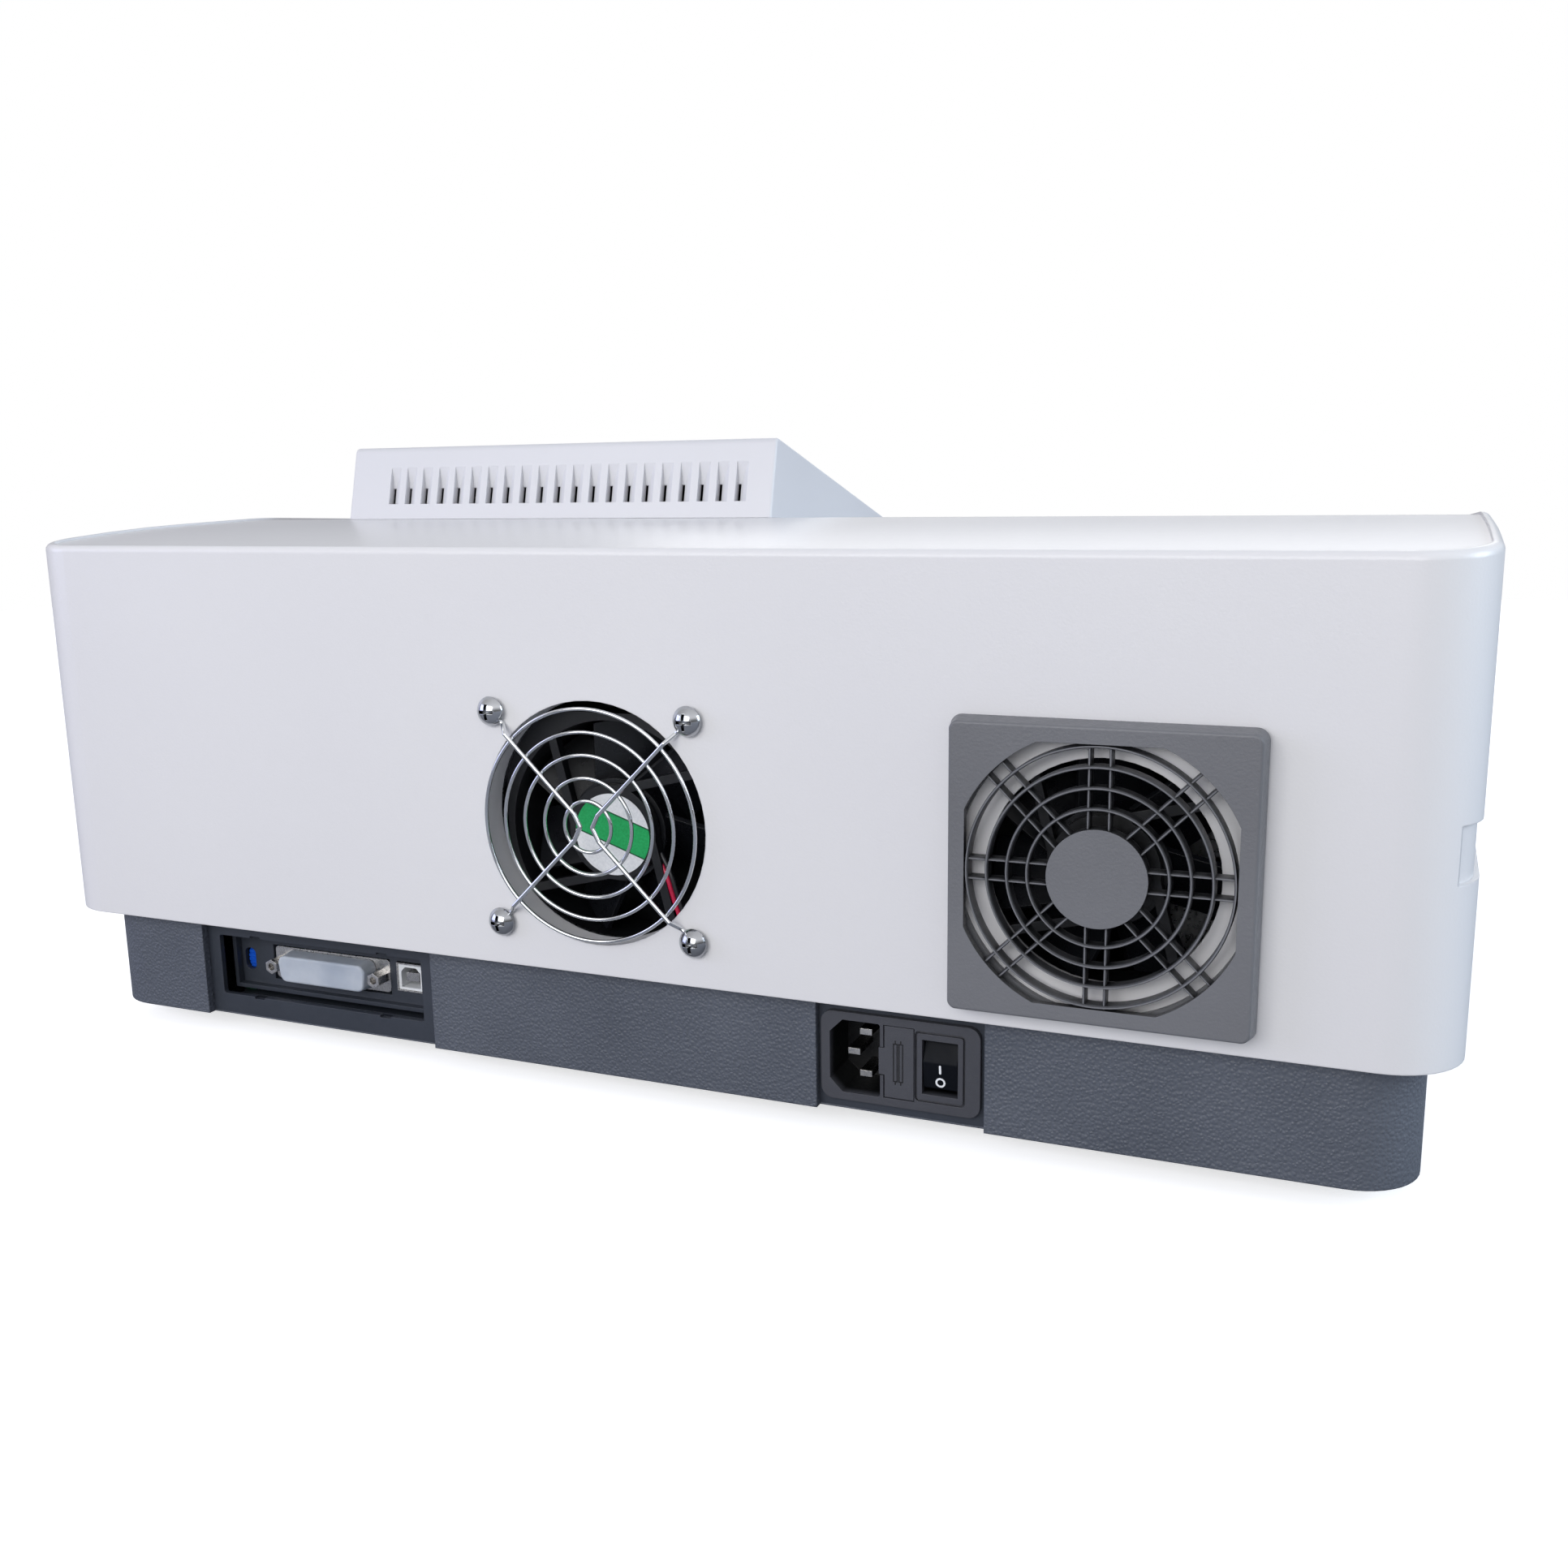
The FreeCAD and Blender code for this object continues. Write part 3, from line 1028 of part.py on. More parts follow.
def dome_screws(places, seat_y, shank):
    screws = []
    for x, z in places:
        radius = (SCREW_HEAD_R ** 2 + SCREW_HEAD_HEIGHT ** 2) / 2 / SCREW_HEAD_HEIGHT
        ball = Part.makeSphere(radius, V(x, seat_y + SCREW_HEAD_HEIGHT - radius, z))
        head = ball.common(rod(x, seat_y, z, (0, 1, 0), SCREW_HEAD_R, SCREW_HEAD_HEIGHT + 1))
        cross = []
        for w, h in ((SCREW_CROSS / 2, SCREW_CROSS_WIDTH / 2), (SCREW_CROSS_WIDTH / 2, SCREW_CROSS / 2)):
            cross.append(box(x - w, x + w, seat_y + SCREW_CROSS_FLOOR, seat_y + SCREW_HEAD_HEIGHT + 1,
                z - h, z + h))
        stem = rod(x, seat_y - shank, z, (0, 1, 0), SCREW_SHANK_R, shank + 0.3)
        screws.append(fuse([head, stem]).cut(Part.makeCompound(cross)))
    return screws


def rib_section(low, high):
    """Closed outline of a guard rib's cross section, from low to a narrow top at high."""
    w, t = GRILLE_RIB / 2, GRILLE_RIB_TOP / 2
    shoulder = high - GRILLE_RIB_BEVEL
    return [(-w, low), (w, low), (w, shoulder), (t, high), (-t, high), (-w, shoulder), (-w, low)]


def make_grille():
    x, z = SIDE_FAN_X, SIDE_FAN_Z
    half, y0, y1 = GRILLE_SIZE / 2, GRILLE_Y, REAR_Y + GRILLE_PROUD
    opening = prism(rounded(x - GRILLE_OPENING / 2, x + GRILLE_OPENING / 2, z - GRILLE_OPENING / 2,
        z + GRILLE_OPENING / 2, 0), "y", y0 - 5, y1 + 1)
    opening = opening.common(rod(x, y0 - 5, z, (0, 1, 0), GRILLE_OPENING_R, 20))
    foot = half + GRILLE_DRAFT
    wide = rounded(x - foot, x + foot, z - foot, z + foot, 3.5)
    shell = tapered(wide, rounded(x - half, x + half, z - half, z + half, 2.5), y0, y1)
    edges = [e for e in shell.Edges if abs(e.CenterOfMass.y - y1) < 0.01]
    shell = shell.makeFillet(0.8, edges)
    inner = half - GRILLE_WALL
    hollow = prism(rounded(x - inner, x + inner, z - inner, z + inner, 1.5), "y", y0 - 1, y1 - GRILLE_FACE)
    shell = shell.cut(hollow).cut(opening)
    back = y1 - GRILLE_RIB_DEPTH
    ribs = [rod(x, back, z, (0, 1, 0), GRILLE_HUB_R, GRILLE_RIB_DEPTH)]
    for i in range(GRILLE_RINGS):
        mid = GRILLE_RING_R + i * GRILLE_RING_STEP
        face = Part.Face(Part.makePolygon([V(x + mid + u, v, z)
            for u, v in rib_section(back, y1 - GRILLE_RING_DROP)]))
        ribs.append(face.revolve(V(x, back, z), V(0, 1, 0), 360))
    for i in range(GRILLE_SPOKES // 2):
        for s in (-1, 1):
            middle = s * GRILLE_SPOKE_GAP / 2
            section = [V(-46, v, middle + u) for u, v in rib_section(back - y1, -GRILLE_SPOKE_DROP)]
            bar = Part.Face(Part.makePolygon(section)).extrude(V(92, 0, 0))
            ribs.append(turned(bar, x, y1, z, (0, 1, 0), 45 * i))
    web = fuse(ribs).common(prism(rounded(x - inner - 0.5, x + inner + 0.5, z - inner - 0.5,
        z + inner + 0.5, 1.5), "y", back, y1))
    limit = rod(x, back, z, (0, 1, 0), GRILLE_OPENING_R + 0.6, GRILLE_RIB_DEPTH)
    save("filter_guard", fuse([shell, web.common(limit)]))
    foot -= 0.4
    base = prism(rounded(x - foot, x + foot, z - foot, z + foot, 3.1), "y", REAR_Y, GRILLE_Y)
    way = rod(x, REAR_Y - 1, z, (0, 1, 0), GRILLE_OPENING_R, 5)
    holes = [rod(px, REAR_Y - 1, pz, (0, 1, 0), SCREW_SHANK_R + 0.1, 5)
        for px, pz in square(x, z, FAN_HOLE_PITCH)]
    save("filter_retainer", base.cut(Part.makeCompound([way] + holes)))


def hood_point(along, inward):
    """Point on the hood's leaning back, from its foot up and inward."""
    length = math.hypot(HOOD_LEAN, HOOD_HEIGHT)
    up = V(0, -HOOD_LEAN / length, HOOD_HEIGHT / length)
    into = V(0, -HOOD_HEIGHT / length, -HOOD_LEAN / length)
    foot = V(0, HOOD_REAR_Y, HOOD_FOOT_Z) + up * along + into * inward
    return foot.y, foot.z


def slot_pocket(x):
    """Funnel cut into the hood's back about x: ramps from the top and from one side lead to a slit.

    It starts 1 mm outside the wall and ends 1 mm inside it, on the ramps' own slopes.
    """
    left, right = x - SLOT_WIDTH / 2, x + SLOT_WIDTH / 2
    shoulder, top = SLOT_RISE + SLOT_HEIGHT - SLOT_RAMP, SLOT_RISE + SLOT_HEIGHT
    out = 1 / HOOD_WALL
    rims = []
    for depth, share in ((-1, -out), (HOOD_WALL, 1)):
        x0 = left + share * (SLOT_WIDTH - SLOT_SLIT)
        z1 = top - share * SLOT_RAMP
        corners = [(x0, SLOT_RISE), (right, SLOT_RISE), (right, z1), (x0, z1), (x0, SLOT_RISE)]
        rims.append(Part.makePolygon([V(u, *hood_point(v, depth)) for u, v in corners]))
    funnel = Part.makeLoft(rims, True, True)
    slit = [hood_point(v, depth) for v, depth in (
        (SLOT_RISE, HOOD_WALL - 1), (SLOT_RISE, HOOD_WALL + 3), (shoulder, HOOD_WALL + 3),
        (shoulder, HOOD_WALL - 1))]
    return funnel.fuse(prism(slit, "x", right - SLOT_SLIT, right))


def make_hood():
    x0, x1 = HOOD_X - HOOD_WIDTH / 2, HOOD_X + HOOD_WIDTH / 2
    nose_y, nose_z = HOOD_NOSE_Y, HOOD_NOSE_Z
    crown = (HOOD_CROWN_Y, HOOD_CROWN_Z)
    root_z = nose_z - HOOD_NOSE_DEPTH
    outer = prism([(HOOD_REAR_Y, HOOD_FOOT_Z), crown + (2.5,), (nose_y, nose_z, 2), (nose_y, root_z)],
        "x", x0, x1)
    rims = []
    for edge in outer.Edges:
        middle = edge.CenterOfMass
        if abs(abs(middle.x - HOOD_X) - HOOD_WIDTH / 2) < 0.01 and middle.z > HOOD_FOOT_Z + 6:
            rims.append(edge)
    body = outer.makeFillet(HOOD_EDGE_R, rims)
    hollow = [
        (HOOD_REAR_Y - HOOD_WALL * 1.05, HOOD_FOOT_Z - 3), (crown[0] - HOOD_WALL, crown[1] - HOOD_WALL * 1.1),
        (nose_y + HOOD_WALL, nose_z - HOOD_WALL), (nose_y + HOOD_WALL, root_z)]
    tools = [prism(hollow, "x", x0 + HOOD_WALL, x1 - HOOD_WALL)]
    middle = (SLOT_COUNT - 1) / 2
    pockets = [slot_pocket(SLOT_X + (i - middle) * SLOT_PITCH) for i in range(SLOT_COUNT)]
    body = body.cut(Part.makeCompound(pockets))
    tools.append(screen_block(LCD_WIDTH + 2 * BEZEL_MARGIN - 6, LCD_HEIGHT + 2 * BEZEL_MARGIN - 6, -8, 6))
    tools.append(prism(case_profile(0, COVER_Z, RIM_STEP), "x", x0 - 1, x1 + 1))
    save("display_hood", body.cut(Part.makeCompound(tools)))
    frame = screen_block(LCD_WIDTH + 2 * BEZEL_MARGIN, LCD_HEIGHT + 2 * BEZEL_MARGIN, 0, BEZEL_THICKNESS)
    lip = screen_block(LCD_WIDTH + 2 * BEZEL_MARGIN - 6.6, LCD_HEIGHT + 2 * BEZEL_MARGIN - 6.6,
        -HOOD_WALL, 0.5)
    hole = screen_block(LCD_WIDTH - 6, LCD_HEIGHT - 6, -6, 6)
    save("display_bezel", fuse([frame, lip]).cut(hole))
    save("display_panel", screen_block(LCD_WIDTH, LCD_HEIGHT, -HOOD_WALL - LCD_THICKNESS, -HOOD_WALL))


def screen_block(width, height, low, high):
    """Block lying on the hood's sloping face, centred on the screen."""
    tilt = math.degrees(math.atan2(HOOD_CROWN_Z - HOOD_NOSE_Z, HOOD_CROWN_Y - HOOD_NOSE_Y))
    block = box(-width / 2, width / 2, -height / 2, height / 2, low, high)
    middle_y, middle_z = (HOOD_CROWN_Y + HOOD_NOSE_Y) / 2, (HOOD_CROWN_Z + HOOD_NOSE_Z) / 2
    return turned(block, HOOD_X, middle_y, middle_z, (1, 0, 0), tilt)


def keypad_block(depth, grow, height):
    """Block lying on the sloping front of the case, sunk by depth below its surface."""
    tilt = math.degrees(math.atan2(BROW_Z - FRONT_TOP_Z, BROW_Y - FRONT_TOP_Y))
    low = -depth - RIM_STEP * math.cos(math.radians(tilt))
    block = box(-KEYPAD_WIDTH / 2 - grow, KEYPAD_WIDTH / 2 + grow, -KEYPAD_LENGTH / 2 - grow,
        KEYPAD_LENGTH / 2 + grow, low, low + height)
    return turned(block, HOOD_X, (BROW_Y + FRONT_TOP_Y) / 2, (BROW_Z + FRONT_TOP_Z) / 2, (1, 0, 0), tilt)


def make_keypad():
    save("keypad_sheet", keypad_block(KEYPAD_SINK, 0, KEYPAD_THICKNESS))
    tilt = math.degrees(math.atan2(BROW_Z - FRONT_TOP_Z, BROW_Y - FRONT_TOP_Y))
    low = -KEYPAD_SINK - RIM_STEP * math.cos(math.radians(tilt)) + KEYPAD_THICKNESS
    keys = []
    for column in range(KEY_COLUMNS):
        for row in range(KEY_ROWS):
            x = (column - (KEY_COLUMNS - 1) / 2) * KEY_PITCH_X
            y = (row - (KEY_ROWS - 1) / 2) * KEY_PITCH_Y
            key = prism(rounded(x - KEY_WIDTH / 2, x + KEY_WIDTH / 2, y - KEY_LENGTH / 2,
                y + KEY_LENGTH / 2, 2), "z", low, low + KEY_HEIGHT)
            keys.append(turned(key, HOOD_X, (BROW_Y + FRONT_TOP_Y) / 2, (BROW_Z + FRONT_TOP_Z) / 2,
                (1, 0, 0), tilt))
    save("keys", keys)


def make_bench():
    plate = box(BENCH_LEFT, BENCH_RIGHT, BENCH_FRONT, BENCH_REAR, BENCH_Z, BENCH_TOP)
    mounts = []
    for x in (BENCH_LEFT + 20, BENCH_RIGHT - 20):
        for y in (BENCH_FRONT + 20, BENCH_REAR - 20):
            mounts.append(rod(x, y, FLOOR_Z, (0, 0, 1), MOUNT_R, MOUNT_HEIGHT))
    save("optical_bench", plate)
    save("bench_mounts", mounts)


def make_chamber():
    x0, x1, y0, y1 = CHAMBER_LEFT, CHAMBER_RIGHT, CHAMBER_FRONT, CHAMBER_REAR
    w = CHAMBER_WALL
    outer = box(x0, x1, y0, y1, BENCH_TOP, CHAMBER_TOP)
    flange = box(x0 - CHAMBER_FLANGE, x1 + CHAMBER_FLANGE, y0 - CHAMBER_FLANGE, y1 + CHAMBER_FLANGE,
        CHAMBER_TOP - w, CHAMBER_TOP)
    tools = [box(x0 + w, x1 - w, y0 + w, y1 - w, BENCH_TOP + w, CHAMBER_TOP + 1)]
    panes = []
    for y in BEAM_YS:
        for x in (x0, x1 - w):
            panes.append(rod(x, y, BEAM_Z, (1, 0, 0), WINDOW_R, w))
    save("sample_chamber", fuse([outer, flange]).cut(Part.makeCompound(tools + panes)))
    save("beam_windows", panes)
    holders, detectors = [], []
    for y in BEAM_YS:
        floor = BENCH_TOP + w
        foot = box(LID_X - 20, LID_X + 20, y - 20, y + 20, floor, floor + CELL_BASE)
        column = box(LID_X - 9, LID_X + 9, y - 9, y + 9, floor, BEAM_Z - 18)
        half = CELL_BLOCK / 2
        block = box(LID_X - half, LID_X + half, y - half, y + half, BEAM_Z - 20, BEAM_Z - 20 + CELL_HEIGHT)
        well = box(LID_X - CELL_WELL / 2, LID_X + CELL_WELL / 2, y - CELL_WELL / 2, y + CELL_WELL / 2,
            BEAM_Z - 15, BEAM_Z + 60)
        slot = box(LID_X - 30, LID_X + 30, y - CELL_SLOT_WIDTH / 2, y + CELL_SLOT_WIDTH / 2, BEAM_Z - 9,
            BEAM_Z + 11)
        holders.append(fuse([foot, column, block]).cut(Part.makeCompound([well, slot])))
    for y in BEAM_YS:
        body = box(x0 - DETECTOR_DEPTH, x0, y - 13, y + 13, BEAM_Z - 13, BEAM_Z + 13)
        detectors.append(body.cut(rod(x0 - 12, y, BEAM_Z, (1, 0, 0), WINDOW_R - 2, 13)))
    save("cell_holders", holders)
    save("detectors", detectors)
    right = x0 - DETECTOR_DEPTH
    save("detector_board", box(right - BOARD_THICKNESS, right, BEAM_YS[1] - 24, BEAM_YS[0] + 24,
        BEAM_Z - 28, BEAM_Z + 28))


def mirror_mount(x, y, size, thickness, angle, hole):
    """Post with an upright plate that carries a mirror on its front. The plate turns about the post."""
    post = rod(x, y, BENCH_TOP, (0, 0, 1), 7, BEAM_Z - size / 2 - 6 - BENCH_TOP)
    plate = box(-size / 2 - 2, size / 2 + 2, -4, 0, -size / 2 - 7, size / 2 + 2)
    if hole:
        plate = plate.cut(rod(0, -5, 0, (0, 1, 0), size / 2 - 3, 6))
    glass = box(-size / 2, size / 2, 0, thickness, -size / 2, size / 2)
    parts = [turned(part, x, y, BEAM_Z, (0, 0, 1), angle) for part in (plate, glass)]
    return fuse([post, parts[0]]), parts[1]


def make_splitter():
    x0, x1, y0, y1 = SPLITTER_LEFT, SPLITTER_RIGHT, SPLITTER_FRONT, SPLITTER_REAR
    w = MIRROR_BOX_WALL
    shell = box(x0, x1, y0, y1, BENCH_TOP, BEAM_Z + 24).cut(box(x0 + w, x1 - w, y0 + w, y1 - w,
        BENCH_TOP - 1, BEAM_Z + 22))
    ports = [rod(x0 - 1, y, BEAM_Z, (1, 0, 0), WINDOW_R - 1, w + 2) for y in BEAM_YS]
    ports.append(rod(EXIT_X, y1 - w - 1, BEAM_Z, (0, 1, 0), WINDOW_R - 1, w + 2))
    save("splitter_housing", shell.cut(Part.makeCompound(ports)))
    mounts, glasses = [], []
    for y, thickness, hole in ((BEAM_YS[0], 1.5, True), (BEAM_YS[1], 4.0, False)):
        mount, glass = mirror_mount(EXIT_X, y, 26, thickness, 45, hole)
        mounts.append(mount)
        glasses.append(glass)
    save("splitter_mounts", mounts)
    save("beam_splitter", glasses[0])
    save("fold_mirror", glasses[1])


def make_monochromator():
    x0, x1, y0, y1 = MONO_LEFT, MONO_RIGHT, MONO_FRONT, MONO_REAR
    w = MONO_WALL
    shell = box(x0, x1, y0, y1, BENCH_TOP, MONO_TOP).cut(box(x0 + w, x1 - w, y0 + w, y1 - w,
        BENCH_TOP + w, MONO_TOP + 1))
    tools = [rod(x0 - 1, SOURCE_Y, BEAM_Z, (1, 0, 0), 6, w + 2),
        rod(EXIT_X, y0 - 1, BEAM_Z, (0, 1, 0), 6, w + 2)]
    tools.append(rod(GRATING_X, GRATING_Y, BENCH_TOP + 1, (0, 0, 1), TURRET_SHAFT_R + HINGE_RUNNING, w))
    save("monochromator", shell.cut(Part.makeCompound(tools)))
    lid = box(x0, x1, y0, y1, MONO_TOP, MONO_TOP + MONO_LID)
    save("monochromator_lid", lid.cut(rod(GRATING_X, GRATING_Y, MONO_TOP - 1, (0, 0, 1),
        TURRET_SHAFT_R + 0.5, 8)))
    entry = box(x0 - 1.5, x0, SOURCE_Y - 12, SOURCE_Y + 12, BEAM_Z - 12,
        BEAM_Z + 12).cut(box(x0 - 2, x0 + 1, SOURCE_Y - 0.5, SOURCE_Y + 0.5, BEAM_Z - 5, BEAM_Z + 5))
    leave = box(EXIT_X - 12, EXIT_X + 12, y0 - 1.5, y0, BEAM_Z - 12,
        BEAM_Z + 12).cut(box(EXIT_X - 0.5, EXIT_X + 0.5, y0 - 2, y0 + 1, BEAM_Z - 5, BEAM_Z + 5))
    save("slit_plates", [entry, leave])
    floor = BENCH_TOP + w
    mirrors, mounts = [], []
    for y in (SOURCE_Y, SOURCE_Y - 56):
        post = box(x1 - w - 12, x1 - w - 2, y - 10, y + 10, floor, BEAM_Z - 18)
        plate = box(x1 - w - 7, x1 - w - 2, y - 20, y + 20, BEAM_Z - 20, BEAM_Z + 18)
        mounts.append(fuse([post, plate]))
        disc = rod(x1 - w - 13, y, BEAM_Z, (1, 0, 0), 17, 6)
        mirrors.append(disc.cut(Part.makeSphere(200, V(x1 - w - 12 - 200, y, BEAM_Z))))
    post = rod(EXIT_X, y0 + 24, floor, (0, 0, 1), 6, BEAM_Z - 14 - floor)
    plate = turned(box(-10, 10, -4, 0, -16, 10), EXIT_X, y0 + 24, BEAM_Z, (0, 0, 1), -45)
    mounts.append(fuse([post, plate]))
    mirrors.append(turned(box(-9, 9, 0, 3, -9, 9), EXIT_X, y0 + 24, BEAM_Z, (0, 0, 1), -45))
    save("mirror_mounts", mounts)
    save("concave_mirrors", mirrors)
    shaft_top = MONO_TOP + MONO_LID + DRIVE_HEIGHT + MOTOR_SHAFT
    disc_z = BEAM_Z - GRATING_SIZE / 2 - 7
    shaft = rod(GRATING_X, GRATING_Y, BENCH_TOP + 1.5, (0, 0, 1), TURRET_SHAFT_R, disc_z - BENCH_TOP)
    disc = rod(GRATING_X, GRATING_Y, disc_z, (0, 0, 1), TURRET_R, 7)
    back = box(-GRATING_SIZE / 2, GRATING_SIZE / 2, -7, -1, 0, GRATING_SIZE + 3)
    back = turned(back, GRATING_X, GRATING_Y, disc_z + 6, (0, 0, 1), GRATING_ANGLE)
    arch = rod(GRATING_X, GRATING_Y, BEAM_Z + GRATING_SIZE / 2 + 1, (0, 0, 1), 12, 3)
    upper = rod(GRATING_X, GRATING_Y, BEAM_Z + GRATING_SIZE / 2 + 3, (0, 0, 1), TURRET_SHAFT_R,
        shaft_top - 6 - BEAM_Z - GRATING_SIZE / 2 - 3)
    coupling = rod(GRATING_X, GRATING_Y, MONO_TOP + MONO_LID + 2, (0, 0, 1), COUPLING_R, COUPLING_LENGTH)
    tip = rod(GRATING_X, GRATING_Y, MONO_TOP + MONO_LID + 4, (0, 0, 1), MOTOR_SHAFT_R,
        shaft_top - MONO_TOP - MONO_LID - 4)
    upper = upper.common(box(-300, 300, -300, 300, 0, MONO_TOP + MONO_LID + 4))
    save("grating_turret", fuse([shaft, disc, back, arch, upper, coupling, tip]))
    grating = box(-GRATING_SIZE / 2, GRATING_SIZE / 2, -1, GRATING_THICKNESS - 1, 1, GRATING_SIZE + 1)
    save("grating", turned(grating, GRATING_X, GRATING_Y, disc_z + 6, (0, 0, 1), GRATING_ANGLE))
    legs = []
    for sx in (-1, 1):
        for sy in (-1, 1):
            legs.append(rod(GRATING_X + sx * 10, GRATING_Y + sy * 10, MONO_TOP + MONO_LID, (0, 0, 1), 2.5,
                DRIVE_HEIGHT + 0.5))
    return motor(GRATING_X, GRATING_Y, DRIVE_Z, 1, legs)


def motor(x, y, z, way, extra):
    """Square step motor along z whose shaft hole opens downward (way 1) or upward (way -1)."""
    half = MOTOR_SIZE / 2
    body = prism([(x - half, y - half, 3), (x + half, y - half, 3), (x + half, y + half, 3),
        (x - half, y + half, 3)], "z", z, z + MOTOR_LENGTH)
    bore_z = z - 1 if way > 0 else z + MOTOR_LENGTH - MOTOR_SHAFT - 1
    whole = fuse([body] + extra)
    return whole.cut(rod(x, y, bore_z, (0, 0, 1), MOTOR_SHAFT_R + HINGE_RUNNING, MOTOR_SHAFT + 2))


def make_source():
    x0, x1, y0, y1 = LAMP_LEFT, LAMP_RIGHT, LAMP_FRONT, LAMP_REAR
    w = LAMP_WALL
    top = BENCH_TOP + LAMP_HEIGHT
    shell = box(x0, x1, y0, y1, BENCH_TOP, top).cut(box(x0 + w, x1 - w, y0 + w, y1 - w, BENCH_TOP + w,
        top + 1))
    tools = [rod(x1 - w - 1, SOURCE_Y, BEAM_Z, (1, 0, 0), 8, w + 2)]
    for i in range(6):
        tools.append(box(x0 + 12, x1 - 12, y1 - w - 1, y1 + 1, BENCH_TOP + 14 + 14 * i,
            BENCH_TOP + 20 + 14 * i))
    save("lamp_house", shell.cut(Part.makeCompound(tools)))
    floor = BENCH_TOP + w
    x = (x0 + x1) / 2
    lamp_y, bulb_y = SOURCE_Y + LAMP_REACH, SOURCE_Y - LAMP_REACH
    arc_base = rod(x, lamp_y, floor, (0, 0, 1), LAMP_BASE_R, BEAM_Z - 26 - floor)
    bulb_base = rod(x, bulb_y, floor, (0, 0, 1), 9, BEAM_Z - 12 - floor)
    save("lamp_holders", [arc_base, bulb_base])
    arc = rod(x, lamp_y, BEAM_Z - 26, (0, 0, 1), LAMP_GLASS_R, LAMP_GLASS_HEIGHT)
    arc = arc.makeFillet(8, [e for e in arc.Edges if e.CenterOfMass.z > BEAM_Z + 10 and e.Length > 50])
    bulb = rod(x, bulb_y, BEAM_Z - 12, (0, 0, 1), BULB_R, BULB_HEIGHT)
    bulb = bulb.makeFillet(4, [e for e in bulb.Edges if e.CenterOfMass.z > BEAM_Z and e.Length > 20])
    save("lamps", [arc, bulb])
    shaft_z = floor + MOTOR_LENGTH - MOTOR_SHAFT
    stem = rod(x, SOURCE_Y, shaft_z, (0, 0, 1), MOTOR_SHAFT_R, BEAM_Z - SOURCE_MIRROR_SIZE / 2 - 4 - shaft_z)
    disc = rod(x, SOURCE_Y, BEAM_Z - SOURCE_MIRROR_SIZE / 2 - 5, (0, 0, 1), 11, 4)
    back = box(-10, 10, -6, -1.5, -SOURCE_MIRROR_SIZE / 2 - 2, 8)
    back = turned(back, x, SOURCE_Y, BEAM_Z, (0, 0, 1), -45)
    save("mirror_holder", fuse([stem, disc, back]))
    half = SOURCE_MIRROR_SIZE / 2
    glass = box(-half, half, -1.5, SOURCE_MIRROR_THICKNESS - 1.5, -half + 1, half)
    save("source_mirror", turned(glass, x, SOURCE_Y, BEAM_Z, (0, 0, 1), -45))
    return motor(x, SOURCE_Y, floor, -1, [])


def make_filters():
    x = FILTER_X
    z = BEAM_Z - FILTER_CIRCLE_R
    disc = rod(x, SOURCE_Y, z, (1, 0, 0), FILTER_WHEEL_R, FILTER_WHEEL_THICKNESS)
    glasses = []
    for i in range(FILTER_COUNT):
        angle = 2 * math.pi * i / FILTER_COUNT
        y, up = SOURCE_Y + FILTER_CIRCLE_R * math.sin(angle), z + FILTER_CIRCLE_R * math.cos(angle)
        glasses.append(rod(x + 1, y, up, (1, 0, 0), FILTER_R, 2))
        disc = disc.cut(rod(x - 1, y, up, (1, 0, 0), FILTER_R - 0.8, 8)).cut(rod(x + 1, y, up, (1, 0, 0),
            FILTER_R, 2))
    hub = rod(x, SOURCE_Y, z, (1, 0, 0), 6, FILTER_WHEEL_THICKNESS + 2)
    shaft = rod(x, SOURCE_Y, z, (1, 0, 0), MOTOR_SHAFT_R, FILTER_WHEEL_THICKNESS + 3 + MOTOR_SHAFT)
    save("filter_wheel", fuse([disc, hub, shaft]))
    save("filters", glasses)
    left = x + FILTER_WHEEL_THICKNESS + 3
    can = rod(left, SOURCE_Y, z, (1, 0, 0), 14, 12)
    plate = box(left + 12, left + 14, SOURCE_Y - 15, SOURCE_Y + 15, BENCH_TOP, z + 12)
    foot = box(left + 2, left + 14, SOURCE_Y - 15, SOURCE_Y + 15, BENCH_TOP, BENCH_TOP + 2)
    return fuse([can, plate, foot]).cut(rod(left - 1, SOURCE_Y, z, (1, 0, 0),
        MOTOR_SHAFT_R + HINGE_RUNNING, MOTOR_SHAFT + 2))


def make_electronics():
    x0, y0 = MAIN_BOARD_X, MAIN_BOARD_Y
    low = FLOOR_Z + POST_HEIGHT
    save("main_board", box(x0, x0 + MAIN_BOARD_WIDTH, y0, y0 + MAIN_BOARD_LENGTH, low, low + BOARD_THICKNESS))
    x0, y0 = SUPPLY_X, SUPPLY_Y
    save("power_supply", box(x0, x0 + SUPPLY_WIDTH, y0, y0 + SUPPLY_LENGTH, FLOOR_Z, FLOOR_Z + SUPPLY_HEIGHT))


os.makedirs("parts", exist_ok=True)
outer_shape = make_cover()
make_lid(outer_shape)
make_tray()
make_panel()
make_inlet()
make_drawer()
make_rocker()
make_ports()
make_wheel()
centre = make_fan("centre", CENTRE_FAN_X - CENTRE_FAN_SHIFT, FAN_Z - CENTRE_FAN_DROP,
    COLLAR_Y - BRACKET_PLATE)
side = make_fan("side", SIDE_FAN_X, SIDE_FAN_Z, REAR_Y - COVER_WALL)
save("fan_frames", [centre, side])
make_fan_bracket()
make_wire_guard()
guard_seat = SPOKE_Y + WIRE_R
guard_screws = dome_screws(square(CENTRE_FAN_X, FAN_Z, FAN_HOLE_PITCH), guard_seat, guard_seat - COLLAR_Y + 1)
side_reach = GRILLE_Y - REAR_Y + COVER_WALL + 4
